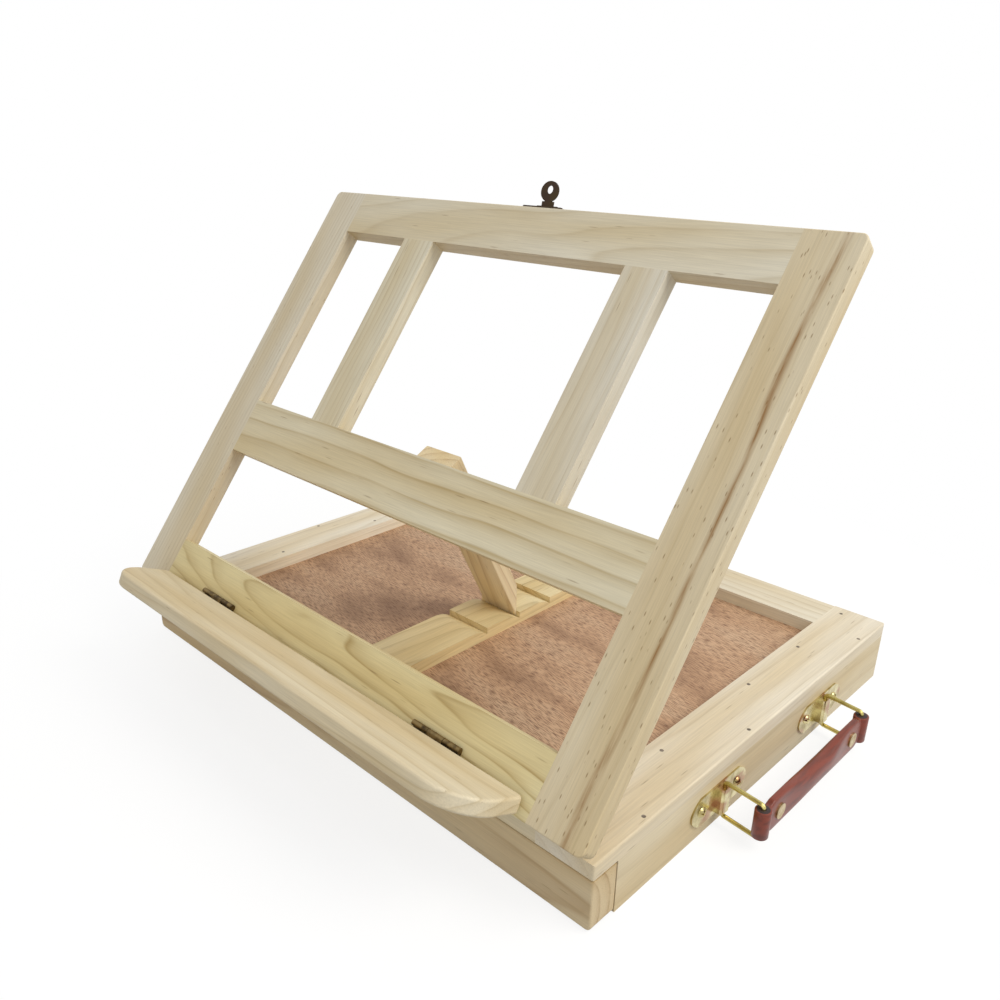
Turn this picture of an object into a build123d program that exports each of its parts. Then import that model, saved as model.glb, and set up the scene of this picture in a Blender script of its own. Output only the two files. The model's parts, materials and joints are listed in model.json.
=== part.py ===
from build123d import *
from collections import namedtuple
from math import asin, atan2, cos, hypot, radians, sin, sqrt
import os

os.makedirs("parts", exist_ok=True)

# A table easel that stands on a shallow drawer box. The easel frame is hinged to the box at the
# top of its front edge and is held up by a prop whose foot sits in a ratchet board.
# X runs along the front, Y to the back and Z up. The origin is the middle of the underside.
# All sizes are in millimetres.

# Box
box_width = 400.0
box_depth = 310.0
box_height = 40.3
wall_thickness = 10.0
flat_rail_thickness = 8.8
side_rail_width = 34.5
back_rail_width = 33.0
front_rail_width = 33.0
ply_thickness = 3.0
box_edge_radius = 1.2

# Ratchet board
ratchet_width = 36.0
ratchet_thickness = 8.1
notch_depth = 4.4
notch_ramp = 14.0
notch_pitch = 31.0
notches_ahead_of_foot = 1
notches_behind_foot = 3

# Drawer
drawer_front_thickness = 17.4
drawer_front_corner_radius = 3.0
drawer_front_edge_radius = 1.2
drawer_side_thickness = 8.0
drawer_side_height = 22.0
drawer_back_gap = 20.6
drawer_play = 0.7
drawer_front_gap = 1.0
divider_thickness = 5.0
divider_height = 17.0
long_divider_from_front = 120.0
cross_divider_spacing = 120.0

# Easel frame
frame_tilt = 52.2
frame_thickness = 11.0
stile_width = 32.6
frame_top_rail_width = 31.2
middle_rail_low = 103.9
middle_rail_width = 38.5
bottom_rail_width = 34.2
muntin_width = 27.7
muntin_spacing = 181.6
frame_corner_radius = 4.0
frame_edge_radius = 0.9

# Prop
prop_length = 134.8
prop_width = 30.0
prop_thickness = 11.0
prop_end_gap = 0.25
prop_edge_radius = 0.8
foot_clearance = 0.3

# Ledge
ledge_length = 327.0
ledge_width = 43.0
ledge_thickness = 8.8
ledge_corner_radius = 26.0
ledge_back_corner_radius = 3.0
ledge_edge_radius = 1.6
ledge_angle = 102.8
ledge_pin_height = 12.3
ledge_top_below_pin = 1.0

# Hinges: each leaf gap runs from the pin's axis to the near face of the leaf
frame_hinge_length = 30.0
frame_hinge_leaf_width = 14.0
frame_hinge_leaf_thickness = 0.9
frame_hinge_leaf_gap = 0.35
frame_hinge_knuckle_radius = 1.9
frame_hinge_pin_radius = 0.9
frame_hinge_screw_length = 5.0
ledge_hinge_length = 34.0
ledge_hinge_leaf_width = 6.0
ledge_hinge_leaf_thickness = 0.75
ledge_hinge_leaf_gap = 1.05
ledge_hinge_knuckle_radius = 1.6
ledge_hinge_pin_radius = 0.8
ledge_hinge_screw_length = 5.5
prop_hinge_length = 24.0
prop_hinge_leaf_width = 10.0
prop_hinge_leaf_thickness = 0.8
prop_hinge_leaf_gap = 0.2
prop_hinge_knuckle_radius = 1.5
prop_hinge_pin_radius = 0.7
prop_hinge_screw_length = 7.5
frame_hinge_spacing = 220.0
frame_pin_ahead = 1.0
frame_inset = 0.2
ledge_hinge_spacing = 205.0
knuckles_per_hinge = 3
knuckle_gap = 0.15
knuckle_clearance = 0.3
pin_clearance = 0.05
hinge_screw_radius = 1.0
hinge_screw_head_radius = 2.0
hinge_screw_share = 0.31
screw_clearance = 0.03

# Nails in the flat rails: shares of the box's depth from the front, and insets from the outer edge
inner_nail_shares = (0.29, 0.577, 0.774, 0.974)
outer_nail_shares = (0.135, 0.448, 0.894)
inner_nail_inset = 26.6
outer_nail_inset = 3.6
nail_head_radius = 1.1
nail_head_thickness = 0.5
nail_radius = 0.6
nail_clearance = 0.03
outer_nail_length = 20.0

# Handle on the right wall
handle_height = 16.5
handle_spacing = 115.0
handle_lean = 6.0
handle_plate_length = 53.0
handle_plate_width = 18.0
handle_plate_oval = 25.0
handle_plate_thickness = 1.0
handle_screw_spacing = 35.0
handle_screw_radius = 1.4
handle_screw_length = 9.0
handle_screw_head_radius = 3.2
handle_screw_head_height = 2.0
handle_screw_dome_radius = 1.6
bridge_width = 8.0
bridge_height = 4.4
bridge_length = 16.0
bridge_round = 1.6
wire_radius = 1.25
wire_play = 0.08
wire_above_plate = 2.2
bail_reach = 23.6
bail_height = 21.0
bail_corner_radius = 2.0
grip_end_height = 16.8
grip_strap_height = 19.4
grip_strap_thickness = 4.6
grip_strap_end = 7.4
grip_flare = 37.5
grip_neck = 22.0
grip_middle_height = 13.6
grip_middle_thickness = 9.4
grip_barrel_radius = 4.4
grip_edge_radius = 1.4
rivet_inset = 15.0
rivet_head_radius = 4.4
rivet_head_height = 0.8
rivet_radius = 1.6

# Hasp on the end of the easel frame and its catch on the back rail
hasp_offset = -2.0
hasp_lean = 24.0
hasp_plate_length = 32.0
hasp_plate_width = 9.6
hasp_plate_round = 1.6
hasp_plate_thickness = 1.0
hasp_nail_spacing = 25.0
hasp_knuckle_radius = 1.6
hasp_lever_knuckle_radius = 1.3
hasp_pin_radius = 0.7
hasp_knuckle_length = 10.0
hasp_lug_length = 2.5
hasp_lever_thickness = 1.0
hasp_base_width = 9.0
hasp_base_height = 4.2
hasp_neck_width = 5.2
hasp_shoulder_height = 6.6
hasp_shoulder_width = 10.4
hasp_ring_middle = 10.0
hasp_ring_width = 13.6
hasp_ring_height = 12.0
hasp_hole_middle = 11.0
hasp_hole_radius = 2.4
catch_plate_length = 14.0
catch_plate_height = 9.0
catch_plate_round = 2.0
catch_plate_drop = 2.9
catch_plate_thickness = 0.8
catch_peg_radius = 2.0
catch_peg_length = 5.0
catch_nail_radius = 1.2
catch_nail_spacing = 9.6
catch_nail_drop = 3.6
catch_nail_length = 6.0

# Places worked out from the sizes above
half_width = box_width / 2
front = -box_depth / 2
back = box_depth / 2
inner_half_width = half_width - wall_thickness
rail_bottom = box_height - flat_rail_thickness
panel_bottom = rail_bottom - ply_thickness
side_front = front + drawer_front_thickness + drawer_front_gap
ratchet_top = rail_bottom + ratchet_thickness
well_front = front + front_rail_width
well_back = back - back_rail_width
drawer_length = box_depth - drawer_front_thickness - wall_thickness - drawer_back_gap
inner_nail_places = [share * box_depth for share in inner_nail_shares]
outer_nail_places = [share * box_depth for share in outer_nail_shares]

HingeSize = namedtuple(
    "HingeSize", "length leaf_width leaf_thickness leaf_gap knuckle_radius pin_radius screw_length"
)
frame_hinge = HingeSize(
    frame_hinge_length,
    frame_hinge_leaf_width,
    frame_hinge_leaf_thickness,
    frame_hinge_leaf_gap,
    frame_hinge_knuckle_radius,
    frame_hinge_pin_radius,
    frame_hinge_screw_length,
)
ledge_hinge = HingeSize(
    ledge_hinge_length,
    ledge_hinge_leaf_width,
    ledge_hinge_leaf_thickness,
    ledge_hinge_leaf_gap,
    ledge_hinge_knuckle_radius,
    ledge_hinge_pin_radius,
    ledge_hinge_screw_length,
)
prop_hinge = HingeSize(
    prop_hinge_length,
    prop_hinge_leaf_width,
    prop_hinge_leaf_thickness,
    prop_hinge_leaf_gap,
    prop_hinge_knuckle_radius,
    prop_hinge_pin_radius,
    prop_hinge_screw_length,
)

tilt = radians(frame_tilt)
frame_pin_y = front - frame_pin_ahead
frame_pin_z = box_height + frame_hinge.leaf_gap + frame_hinge.leaf_thickness
frame_back_face = frame_hinge.leaf_gap + frame_hinge.leaf_thickness
frame_front_face = frame_back_face + frame_thickness
frame_low = frame_pin_ahead + frame_inset
frame_high = frame_pin_ahead + box_depth - frame_inset
up_frame = Vector(0, cos(tilt), sin(tilt))
out_of_frame = Vector(0, -sin(tilt), cos(tilt))
along_pin = Vector(1, 0, 0)
frame_pin = Vector(0, frame_pin_y, frame_pin_z)

# The plane of the easel frame: X along the pin, Y up the frame, Z out of its face
frame_plane = Plane(origin=frame_pin, x_dir=along_pin, z_dir=out_of_frame)
frame_hinge_places = (-frame_hinge_spacing / 2, frame_hinge_spacing / 2)
ledge_hinge_places = (-ledge_hinge_spacing / 2, ledge_hinge_spacing / 2)


def on_frame(up, out):
    """The point that lies this far up the easel frame and this far out of it."""
    return frame_pin + up_frame * up + out_of_frame * out


# Prop: its foot stands in the notch when the frame is at its tilt
middle_rail_high = frame_low + middle_rail_low + middle_rail_width
prop_face = prop_hinge.leaf_gap + prop_hinge.leaf_thickness
prop_pin = on_frame(middle_rail_high + prop_end_gap, frame_back_face - prop_face)
foot_z = ratchet_top - notch_depth + foot_clearance
foot_reach = hypot(prop_length, prop_face)
foot_y = prop_pin.Y + sqrt(foot_reach**2 - (prop_pin.Z - foot_z) ** 2)
prop_lean = atan2(foot_z - prop_pin.Z, foot_y - prop_pin.Y) - atan2(prop_face, prop_length)
down_prop = Vector(0, cos(prop_lean), sin(prop_lean))
out_of_prop = Vector(0, -sin(prop_lean), cos(prop_lean))
prop_plane = Plane(origin=prop_pin, x_dir=along_pin, z_dir=out_of_prop)

# The foot's end is cut so that it stands upright against the notch's face
foot_cut = prop_thickness * down_prop.Z / down_prop.Y
notch_face = foot_y + foot_clearance

# Ledge: hinged on the frame's face, it stands a little past square to it
ledge_pin_above_face = ledge_hinge.leaf_gap + ledge_hinge.leaf_thickness
ledge_pin = on_frame(frame_low + ledge_pin_height, frame_front_face + ledge_pin_above_face)
ledge_turn = tilt + radians(ledge_angle)
along_ledge = Vector(0, cos(ledge_turn), sin(ledge_turn))
into_ledge = Vector(0, -sin(ledge_turn), cos(ledge_turn))
ledge_plane = Plane(origin=ledge_pin, x_dir=along_pin, z_dir=into_ledge)

# Handle: at rest it leans a little to the front
wall_face = half_width
handle_middle_y = (side_front + back) / 2
handle_places = (handle_middle_y - handle_spacing / 2, handle_middle_y + handle_spacing / 2)
handle_screw_places = [
    (y + side * handle_screw_spacing / 2, handle_height) for y in handle_places for side in (-1, 1)
]
bridge_top = wall_face + handle_plate_thickness + bridge_height
wire_in_x = wall_face + handle_plate_thickness + wire_above_plate
handle_turn = radians(handle_lean)
grip_x = wire_in_x + bail_reach * cos(handle_turn)
grip_ends = [y - bail_reach * sin(handle_turn) for y in handle_places]
grip_middle_y = sum(grip_ends) / 2

# Hasp: its lever stands a little nearer to upright than the frame
hasp_pin_up = frame_high + hasp_plate_thickness + hasp_knuckle_radius
hasp_pin_out = (frame_back_face + frame_front_face) / 2
hasp_side = along_pin * hasp_offset
hasp_end_plane = Plane(
    origin=on_frame(frame_high, hasp_pin_out) + hasp_side, x_dir=along_pin, z_dir=up_frame
)
hasp_pin_point = on_frame(hasp_pin_up, hasp_pin_out) + hasp_side
hasp_turn = tilt + radians(hasp_lean)
out_of_hasp = Vector(0, -sin(hasp_turn), cos(hasp_turn))
closed_hasp_z = frame_pin_z + hasp_pin_out
catch_z = closed_hasp_z - hasp_hole_middle
catch_nail_places = [
    (hasp_offset + side * catch_nail_spacing / 2, catch_z - catch_nail_drop) for side in (-1, 1)
]

def slab(plane, left, right, low, high, thickness):
    """A board with these corners on the plane, raised by its thickness."""
    with BuildSketch(plane) as outline:
        with Locations(((left + right) / 2, (low + high) / 2)):
            Rectangle(right - left, high - low)
    extrude(outline.sketch, amount=thickness)


def rounds(plane, places, radius, length, mode=Mode.ADD):
    """Round rods, or round holes, of one length at these places on the plane."""
    with BuildSketch(plane) as outline:
        with Locations(*places):
            Circle(radius)
    extrude(outline.sketch, amount=length, mode=mode)


def shift(plane, x):
    """The same plane moved along the pins, which all run along X."""
    return Plane(origin=plane.origin + along_pin * x, x_dir=plane.x_dir, z_dir=plane.z_dir)


def across_pin(plane, x):
    """The plane square to the pin at x from the middle: its X runs along the leaf."""
    return Plane(origin=plane.origin + along_pin * x, x_dir=plane.y_dir, z_dir=along_pin)


def screw_places(hinge):
    """Where a leaf's screws go, as (along the pin, along the leaf)."""
    out = hinge.knuckle_radius + knuckle_clearance + hinge.leaf_width / 2
    return [(side * hinge.length * hinge_screw_share, out) for side in (-1, 1)]


def hinge_leaf(plane, side, hinge, outer):
    """One stamped leaf: a plate with screw holes, and its share of the three knuckles.

    side is 1 where the wood lies out of the plane and -1 where it lies behind it.
    """
    plate_start = hinge.knuckle_radius + knuckle_clearance
    slab(
        plane.offset(side * hinge.leaf_gap),
        -hinge.length / 2,
        hinge.length / 2,
        plate_start,
        plate_start + hinge.leaf_width,
        side * hinge.leaf_thickness,
    )
    half = hinge.length / 2
    middle = half / knuckles_per_hinge
    spans = ((-half, -middle - knuckle_gap), (middle + knuckle_gap, half))
    if not outer:
        spans = ((knuckle_gap - middle, middle - knuckle_gap),)
    for near, far in spans:
        with BuildSketch(across_pin(plane, near)) as knuckle:
            Circle(hinge.knuckle_radius)
            with Locations((plate_start / 2, side * (hinge.leaf_gap + hinge.leaf_thickness / 2))):
                Rectangle(plate_start + knuckle_clearance, hinge.leaf_thickness)
        extrude(knuckle.sketch, amount=far - near)
    rounds(
        across_pin(plane, -hinge.length / 2),
        [(0, 0)],
        hinge.pin_radius + pin_clearance,
        hinge.length,
        Mode.SUBTRACT,
    )
    rounds(
        plane.offset(side * hinge.leaf_gap),
        screw_places(hinge),
        hinge_screw_head_radius + screw_clearance,
        side * hinge.leaf_thickness,
        Mode.SUBTRACT,
    )


def hinge_screws(plane, side, hinge):
    """Flat-headed screws whose heads fill the leaf's holes."""
    near_face = plane.offset(side * hinge.leaf_gap)
    far_face = near_face.offset(side * hinge.leaf_thickness)
    rounds(near_face, screw_places(hinge), hinge_screw_head_radius, side * hinge.leaf_thickness)
    rounds(far_face, screw_places(hinge), hinge_screw_radius, side * hinge.screw_length)


def hinge_seat(plane, side, hinge):
    """What the hinge takes out of its board: a groove for the knuckles and the screw holes."""
    rounds(
        across_pin(plane, -hinge.length / 2 - knuckle_clearance),
        [(0, 0)],
        hinge.knuckle_radius + knuckle_clearance,
        hinge.length + 2 * knuckle_clearance,
        Mode.SUBTRACT,
    )
    rounds(
        plane.offset(side * (hinge.leaf_gap + hinge.leaf_thickness)),
        screw_places(hinge),
        hinge_screw_radius + screw_clearance,
        side * (hinge.screw_length + screw_clearance),
        Mode.SUBTRACT,
    )


def hinge_pin(plane, hinge):
    """The plain pin that the knuckles turn on."""
    rounds(across_pin(plane, -hinge.length / 2), [(0, 0)], hinge.pin_radius, hinge.length)


# The leaf planes: X along the pin, Y along the leaf, Z across it
box_leaf_plane = Plane(origin=frame_pin, x_dir=along_pin, z_dir=(0, 0, 1))
frame_leaf_plane = frame_plane
ledge_frame_leaf_plane = Plane(origin=ledge_pin, x_dir=along_pin, z_dir=out_of_frame * -1)
ledge_leaf_plane = Plane(origin=ledge_pin, x_dir=along_pin, z_dir=along_ledge * -1)
rail_leaf_plane = Plane(origin=prop_pin, x_dir=along_pin, z_dir=out_of_frame * -1)
leg_leaf_plane = prop_plane


def save(name, builder):
    """Label the finished piece and write it."""
    builder.part.label = name
    export_step(builder.part, f"parts/{name}.step")


# Box walls
def side_wall(side):
    """A side wall, from behind the drawer front to the back."""
    inner, outer = sorted((side * inner_half_width, side * half_width))
    slab(Plane.XY, inner, outer, side_front, back, rail_bottom)


def wall_nail_holes(side):
    """Blind holes in a side wall's top edge for the outer row of nails."""
    x = side * (half_width - outer_nail_inset)
    rounds(
        Plane.XY.offset(rail_bottom),
        [(x, front + place) for place in outer_nail_places],
        nail_radius + nail_clearance,
        -(outer_nail_length - flat_rail_thickness + nail_clearance),
        Mode.SUBTRACT,
    )


with BuildPart() as left_side_wall:
    side_wall(-1)
    back_corner = left_side_wall.edges().filter_by(Axis.Z).group_by(Axis.Y)[-1].sort_by(Axis.X)[0]
    fillet(back_corner, box_edge_radius)
    wall_nail_holes(-1)
save("left_side_wall", left_side_wall)

with BuildPart() as right_side_wall:
    side_wall(1)
    back_corner = right_side_wall.edges().filter_by(Axis.Z).group_by(Axis.Y)[-1].sort_by(Axis.X)[-1]
    fillet(back_corner, box_edge_radius)
    wall_nail_holes(1)
    rounds(
        Plane.YZ.offset(wall_face),
        handle_screw_places,
        handle_screw_radius + screw_clearance,
        -handle_screw_length - screw_clearance,
        Mode.SUBTRACT,
    )
save("right_side_wall", right_side_wall)

with BuildPart() as back_wall:
    slab(Plane.XY, -inner_half_width, inner_half_width, back - wall_thickness, back, rail_bottom)
save("back_wall", back_wall)

with BuildPart() as bottom_panel:
    slab(Plane.XY, -inner_half_width, inner_half_width, side_front, back - wall_thickness, ply_thickness)
save("bottom_panel", bottom_panel)


# Flat rails round the top, with the ply panel under them
def nail_drillings(side):
    """Countersunk places for both rows of nails in a side rail."""
    inner_x = side * (half_width - inner_nail_inset)
    outer_x = side * (half_width - outer_nail_inset)
    places = [(inner_x, front + place) for place in inner_nail_places]
    places += [(outer_x, front + place) for place in outer_nail_places]
    top = Plane.XY.offset(box_height)
    rounds(top, places, nail_head_radius + nail_clearance, -nail_head_thickness, Mode.SUBTRACT)
    rounds(top, places, nail_radius + nail_clearance, -flat_rail_thickness, Mode.SUBTRACT)


def side_rail(side):
    """A flat rail along one side, with its outer edge eased and its corners rounded."""
    inner, outer = sorted((side * (half_width - side_rail_width), side * half_width))
    slab(Plane.XY.offset(rail_bottom), inner, outer, front, back, flat_rail_thickness)


with BuildPart() as left_top_rail:
    side_rail(-1)
    corners = left_top_rail.edges().filter_by(Axis.Z).group_by(Axis.X)[0]
    top_edge = left_top_rail.edges().filter_by(Axis.Y).group_by(Axis.Z)[-1].sort_by(Axis.X)[0]
    fillet(corners + top_edge, box_edge_radius)
    nail_drillings(-1)
save("left_top_rail", left_top_rail)

with BuildPart() as right_top_rail:
    side_rail(1)
    corners = right_top_rail.edges().filter_by(Axis.Z).group_by(Axis.X)[-1]
    top_edge = right_top_rail.edges().filter_by(Axis.Y).group_by(Axis.Z)[-1].sort_by(Axis.X)[-1]
    fillet(corners + top_edge, box_edge_radius)
    nail_drillings(1)
save("right_top_rail", right_top_rail)

rail_inner = half_width - side_rail_width

with BuildPart() as front_top_rail:
    slab(Plane.XY.offset(rail_bottom), -rail_inner, rail_inner, front, well_front, flat_rail_thickness)
    for x in frame_hinge_places:
        hinge_seat(shift(box_leaf_plane, x), -1, frame_hinge)
save("front_top_rail", front_top_rail)

with BuildPart() as back_top_rail:
    slab(Plane.XY.offset(rail_bottom), -rail_inner, rail_inner, well_back, back, flat_rail_thickness)
    outer_edge = back_top_rail.edges().filter_by(Axis.X).group_by(Axis.Z)[-1].sort_by(Axis.Y)[-1]
    fillet(outer_edge, box_edge_radius)
    rounds(
        Plane.XZ.offset(-back),
        catch_nail_places,
        nail_radius + nail_clearance,
        catch_nail_length + nail_clearance,
        Mode.SUBTRACT,
    )
save("back_top_rail", back_top_rail)

with BuildPart() as top_panel:
    slab(
        Plane.XY.offset(panel_bottom),
        -inner_half_width,
        inner_half_width,
        side_front,
        back - wall_thickness,
        ply_thickness,
    )
    inner_x = half_width - inner_nail_inset
    with BuildSketch(Plane.XY.offset(rail_bottom)):
        for side in (-1, 1):
            with Locations(*[(side * inner_x, front + place) for place in inner_nail_places[:-1]]):
                Circle(nail_radius + nail_clearance)
    extrude(amount=-ply_thickness, mode=Mode.SUBTRACT)
save("top_panel", top_panel)

with BuildPart() as top_nails:
    outer_x = half_width - outer_nail_inset
    inner_heads = [(s * inner_x, front + place) for s in (-1, 1) for place in inner_nail_places]
    outer_heads = [(s * outer_x, front + place) for s in (-1, 1) for place in outer_nail_places]
    with BuildSketch(Plane.XY.offset(box_height)):
        with Locations(*(inner_heads + outer_heads)):
            Circle(nail_head_radius)
    extrude(amount=-nail_head_thickness)
    with BuildSketch(Plane.XY.offset(box_height)):
        with Locations(*inner_heads):
            Circle(nail_radius)
    extrude(amount=-flat_rail_thickness)
    with BuildSketch(Plane.XY.offset(box_height)):
        with Locations(*outer_heads):
            Circle(nail_radius)
    extrude(amount=-outer_nail_length)
save("top_nails", top_nails)

# Ratchet board: a saw-tooth top whose upright faces look to the front
ramp_radius = (notch_ramp**2 + notch_depth**2) / (2 * notch_depth)
ramp_half_turn = asin(notch_ramp / ramp_radius) / 2
notch_faces = [
    notch_face + step * notch_pitch
    for step in range(notches_behind_foot, -notches_ahead_of_foot - 1, -1)
]

with BuildPart() as ratchet_board:
    with BuildSketch(Plane.YZ.offset(-ratchet_width / 2)):
        with BuildLine():
            Polyline((well_front, ratchet_top), (well_front, rail_bottom), (well_back, rail_bottom))
            Line((well_back, rail_bottom), (well_back, ratchet_top))
            behind = well_back
            for face_y in notch_faces:
                floor_z = ratchet_top - notch_depth
                ramp_start = face_y - notch_ramp
                Polyline((behind, ratchet_top), (face_y, ratchet_top), (face_y, floor_z))
                ThreePointArc(
                    (face_y, floor_z),
                    (
                        ramp_start + ramp_radius * sin(ramp_half_turn),
                        ratchet_top - ramp_radius * (1 - cos(ramp_half_turn)),
                    ),
                    (ramp_start, ratchet_top),
                )
                behind = ramp_start
            Line((behind, ratchet_top), (well_front, ratchet_top))
        make_face()
    extrude(amount=ratchet_width)
save("ratchet_board", ratchet_board)

# Frame hinges
with BuildPart() as frame_hinge_box_leaves:
    for x in frame_hinge_places:
        hinge_leaf(shift(box_leaf_plane, x), -1, frame_hinge, outer=True)
save("frame_hinge_box_leaves", frame_hinge_box_leaves)

with BuildPart() as frame_hinge_frame_leaves:
    for x in frame_hinge_places:
        hinge_leaf(shift(frame_leaf_plane, x), 1, frame_hinge, outer=False)
save("frame_hinge_frame_leaves", frame_hinge_frame_leaves)

with BuildPart() as frame_hinge_pins:
    for x in frame_hinge_places:
        hinge_pin(shift(box_leaf_plane, x), frame_hinge)
save("frame_hinge_pins", frame_hinge_pins)

with BuildPart() as frame_hinge_box_screws:
    for x in frame_hinge_places:
        hinge_screws(shift(box_leaf_plane, x), -1, frame_hinge)
save("frame_hinge_box_screws", frame_hinge_box_screws)

with BuildPart() as frame_hinge_frame_screws:
    for x in frame_hinge_places:
        hinge_screws(shift(frame_leaf_plane, x), 1, frame_hinge)
save("frame_hinge_frame_screws", frame_hinge_frame_screws)

# Drawer
drawer_half = inner_half_width - drawer_play
drawer_low = ply_thickness + drawer_play
drawer_inside = drawer_half - drawer_side_thickness
drawer_start = front + drawer_front_thickness
drawer_end = drawer_start + drawer_length
drawer_floor = drawer_low + ply_thickness
drawer_high = drawer_low + drawer_side_height
long_divider_y = drawer_start + long_divider_from_front

with BuildPart() as drawer_front:
    slab(
        Plane.XY.offset(drawer_play),
        -half_width,
        half_width,
        front,
        drawer_start,
        rail_bottom - drawer_front_gap - drawer_play,
    )
    face_corners = drawer_front.edges().filter_by(Axis.Y).group_by(Axis.Z)[0]
    fillet(face_corners, drawer_front_corner_radius)
    front_edges = drawer_front.faces().sort_by(Axis.Y)[0].edges()
    fillet(front_edges, drawer_front_edge_radius)
save("drawer_front", drawer_front)


def drawer_side(side):
    """A drawer side between the front and the back."""
    inner, outer = sorted((side * drawer_inside, side * drawer_half))
    slab(Plane.XY.offset(drawer_low), inner, outer, drawer_start, drawer_end, drawer_side_height)


with BuildPart() as drawer_left_side:
    drawer_side(-1)
save("drawer_left_side", drawer_left_side)

with BuildPart() as drawer_right_side:
    drawer_side(1)
save("drawer_right_side", drawer_right_side)

with BuildPart() as drawer_back:
    slab(
        Plane.XY.offset(drawer_low),
        -drawer_inside,
        drawer_inside,
        drawer_end - drawer_side_thickness,
        drawer_end,
        drawer_side_height,
    )
save("drawer_back", drawer_back)

with BuildPart() as drawer_bottom:
    slab(
        Plane.XY.offset(drawer_low),
        -drawer_inside,
        drawer_inside,
        drawer_start,
        drawer_end - drawer_side_thickness,
        ply_thickness,
    )
save("drawer_bottom", drawer_bottom)

with BuildPart() as drawer_long_divider:
    slab(
        Plane.XY.offset(drawer_floor),
        -drawer_inside,
        drawer_inside,
        long_divider_y,
        long_divider_y + divider_thickness,
        divider_height,
    )
save("drawer_long_divider", drawer_long_divider)

with BuildPart() as drawer_cross_dividers:
    for side in (-1, 1):
        middle = side * cross_divider_spacing / 2
        slab(
            Plane.XY.offset(drawer_floor),
            middle - divider_thickness / 2,
            middle + divider_thickness / 2,
            long_divider_y + divider_thickness,
            drawer_end - drawer_side_thickness,
            divider_height,
        )
save("drawer_cross_dividers", drawer_cross_dividers)

# Easel frame: the stiles run the full length and the rails and muntins fit between them
board_plane = frame_plane.offset(frame_back_face)
stile_inner = half_width - stile_width
top_rail_low = frame_high - frame_top_rail_width
frame_rise = Axis(frame_pin, up_frame)


def stile(side):
    """A stile, a full-length board on one side of the frame."""
    inner, outer = sorted((side * stile_inner, side * half_width))
    slab(board_plane, inner, outer, frame_low, frame_high, frame_thickness)


def ease_stile(builder, side):
    """Round the stile's two outer corners and ease its outer edges."""
    outer_face = builder.faces().sort_by(Axis.X)[0 if side < 0 else -1]
    fillet(outer_face.edges().filter_by(lambda e: e.length < stile_width), frame_corner_radius)
    rim = builder.faces().filter_by(board_plane).edges()
    fillet(rim.filter_by(lambda e: abs(e.center().X) > stile_inner + frame_edge_radius), frame_edge_radius)

with BuildPart() as left_stile:
    stile(-1)
    ease_stile(left_stile, -1)
save("left_stile", left_stile)

with BuildPart() as right_stile:
    stile(1)
    ease_stile(right_stile, 1)
save("right_stile", right_stile)

with BuildPart() as top_rail:
    slab(board_plane, -stile_inner, stile_inner, top_rail_low, frame_high, frame_thickness)
    fillet(top_rail.faces().sort_by(frame_rise)[-1].edges().filter_by(Axis.X), frame_edge_radius)
    with BuildSketch(hasp_end_plane):
        with GridLocations(hasp_nail_spacing, 1, 2, 1):
            Circle(nail_radius + nail_clearance)
    extrude(amount=-frame_thickness, mode=Mode.SUBTRACT)
save("top_rail", top_rail)

with BuildPart() as middle_rail:
    slab(
        board_plane,
        -stile_inner,
        stile_inner,
        frame_low + middle_rail_low,
        middle_rail_high,
        frame_thickness,
    )
    hinge_seat(rail_leaf_plane, -1, prop_hinge)
save("middle_rail", middle_rail)

with BuildPart() as bottom_rail:
    slab(
        board_plane,
        -stile_inner,
        stile_inner,
        frame_low,
        frame_low + bottom_rail_width,
        frame_thickness,
    )
    fillet(bottom_rail.faces().sort_by(frame_rise)[0].edges().filter_by(Axis.X), frame_edge_radius)
    for x in frame_hinge_places:
        hinge_seat(shift(frame_leaf_plane, x), 1, frame_hinge)
    for x in ledge_hinge_places:
        hinge_seat(shift(ledge_frame_leaf_plane, x), 1, ledge_hinge)
save("bottom_rail", bottom_rail)


def muntin(side):
    """An upright between the middle rail and the top rail."""
    middle = side * muntin_spacing / 2
    slab(
        board_plane,
        middle - muntin_width / 2,
        middle + muntin_width / 2,
        middle_rail_high,
        top_rail_low,
        frame_thickness,
    )


with BuildPart() as left_muntin:
    muntin(-1)
save("left_muntin", left_muntin)

with BuildPart() as right_muntin:
    muntin(1)
save("right_muntin", right_muntin)

# Ledge and its two hinges
ledge_back = ledge_pin_above_face
ledge_front = ledge_back + ledge_width

with BuildPart() as ledge_shelf:
    with BuildSketch(ledge_plane.offset(ledge_top_below_pin)) as ledge_outline:
        with Locations((0, (ledge_back + ledge_front) / 2)):
            Rectangle(ledge_length, ledge_width)
        fillet(ledge_outline.vertices().group_by(Axis.Y)[-1], ledge_corner_radius)
        fillet(ledge_outline.vertices().group_by(Axis.Y)[0], ledge_back_corner_radius)
    extrude(amount=ledge_thickness)
    fillet(ledge_shelf.faces().filter_by(ledge_plane).edges(), ledge_edge_radius)
    for x in ledge_hinge_places:
        hinge_seat(shift(ledge_leaf_plane, x), -1, ledge_hinge)
save("ledge_shelf", ledge_shelf)

with BuildPart() as ledge_hinge_frame_leaves:
    for x in ledge_hinge_places:
        hinge_leaf(shift(ledge_frame_leaf_plane, x), 1, ledge_hinge, outer=True)
save("ledge_hinge_frame_leaves", ledge_hinge_frame_leaves)

with BuildPart() as ledge_hinge_ledge_leaves:
    for x in ledge_hinge_places:
        hinge_leaf(shift(ledge_leaf_plane, x), -1, ledge_hinge, outer=False)
save("ledge_hinge_ledge_leaves", ledge_hinge_ledge_leaves)

with BuildPart() as ledge_hinge_pins:
    for x in ledge_hinge_places:
        hinge_pin(shift(ledge_frame_leaf_plane, x), ledge_hinge)
save("ledge_hinge_pins", ledge_hinge_pins)

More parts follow.
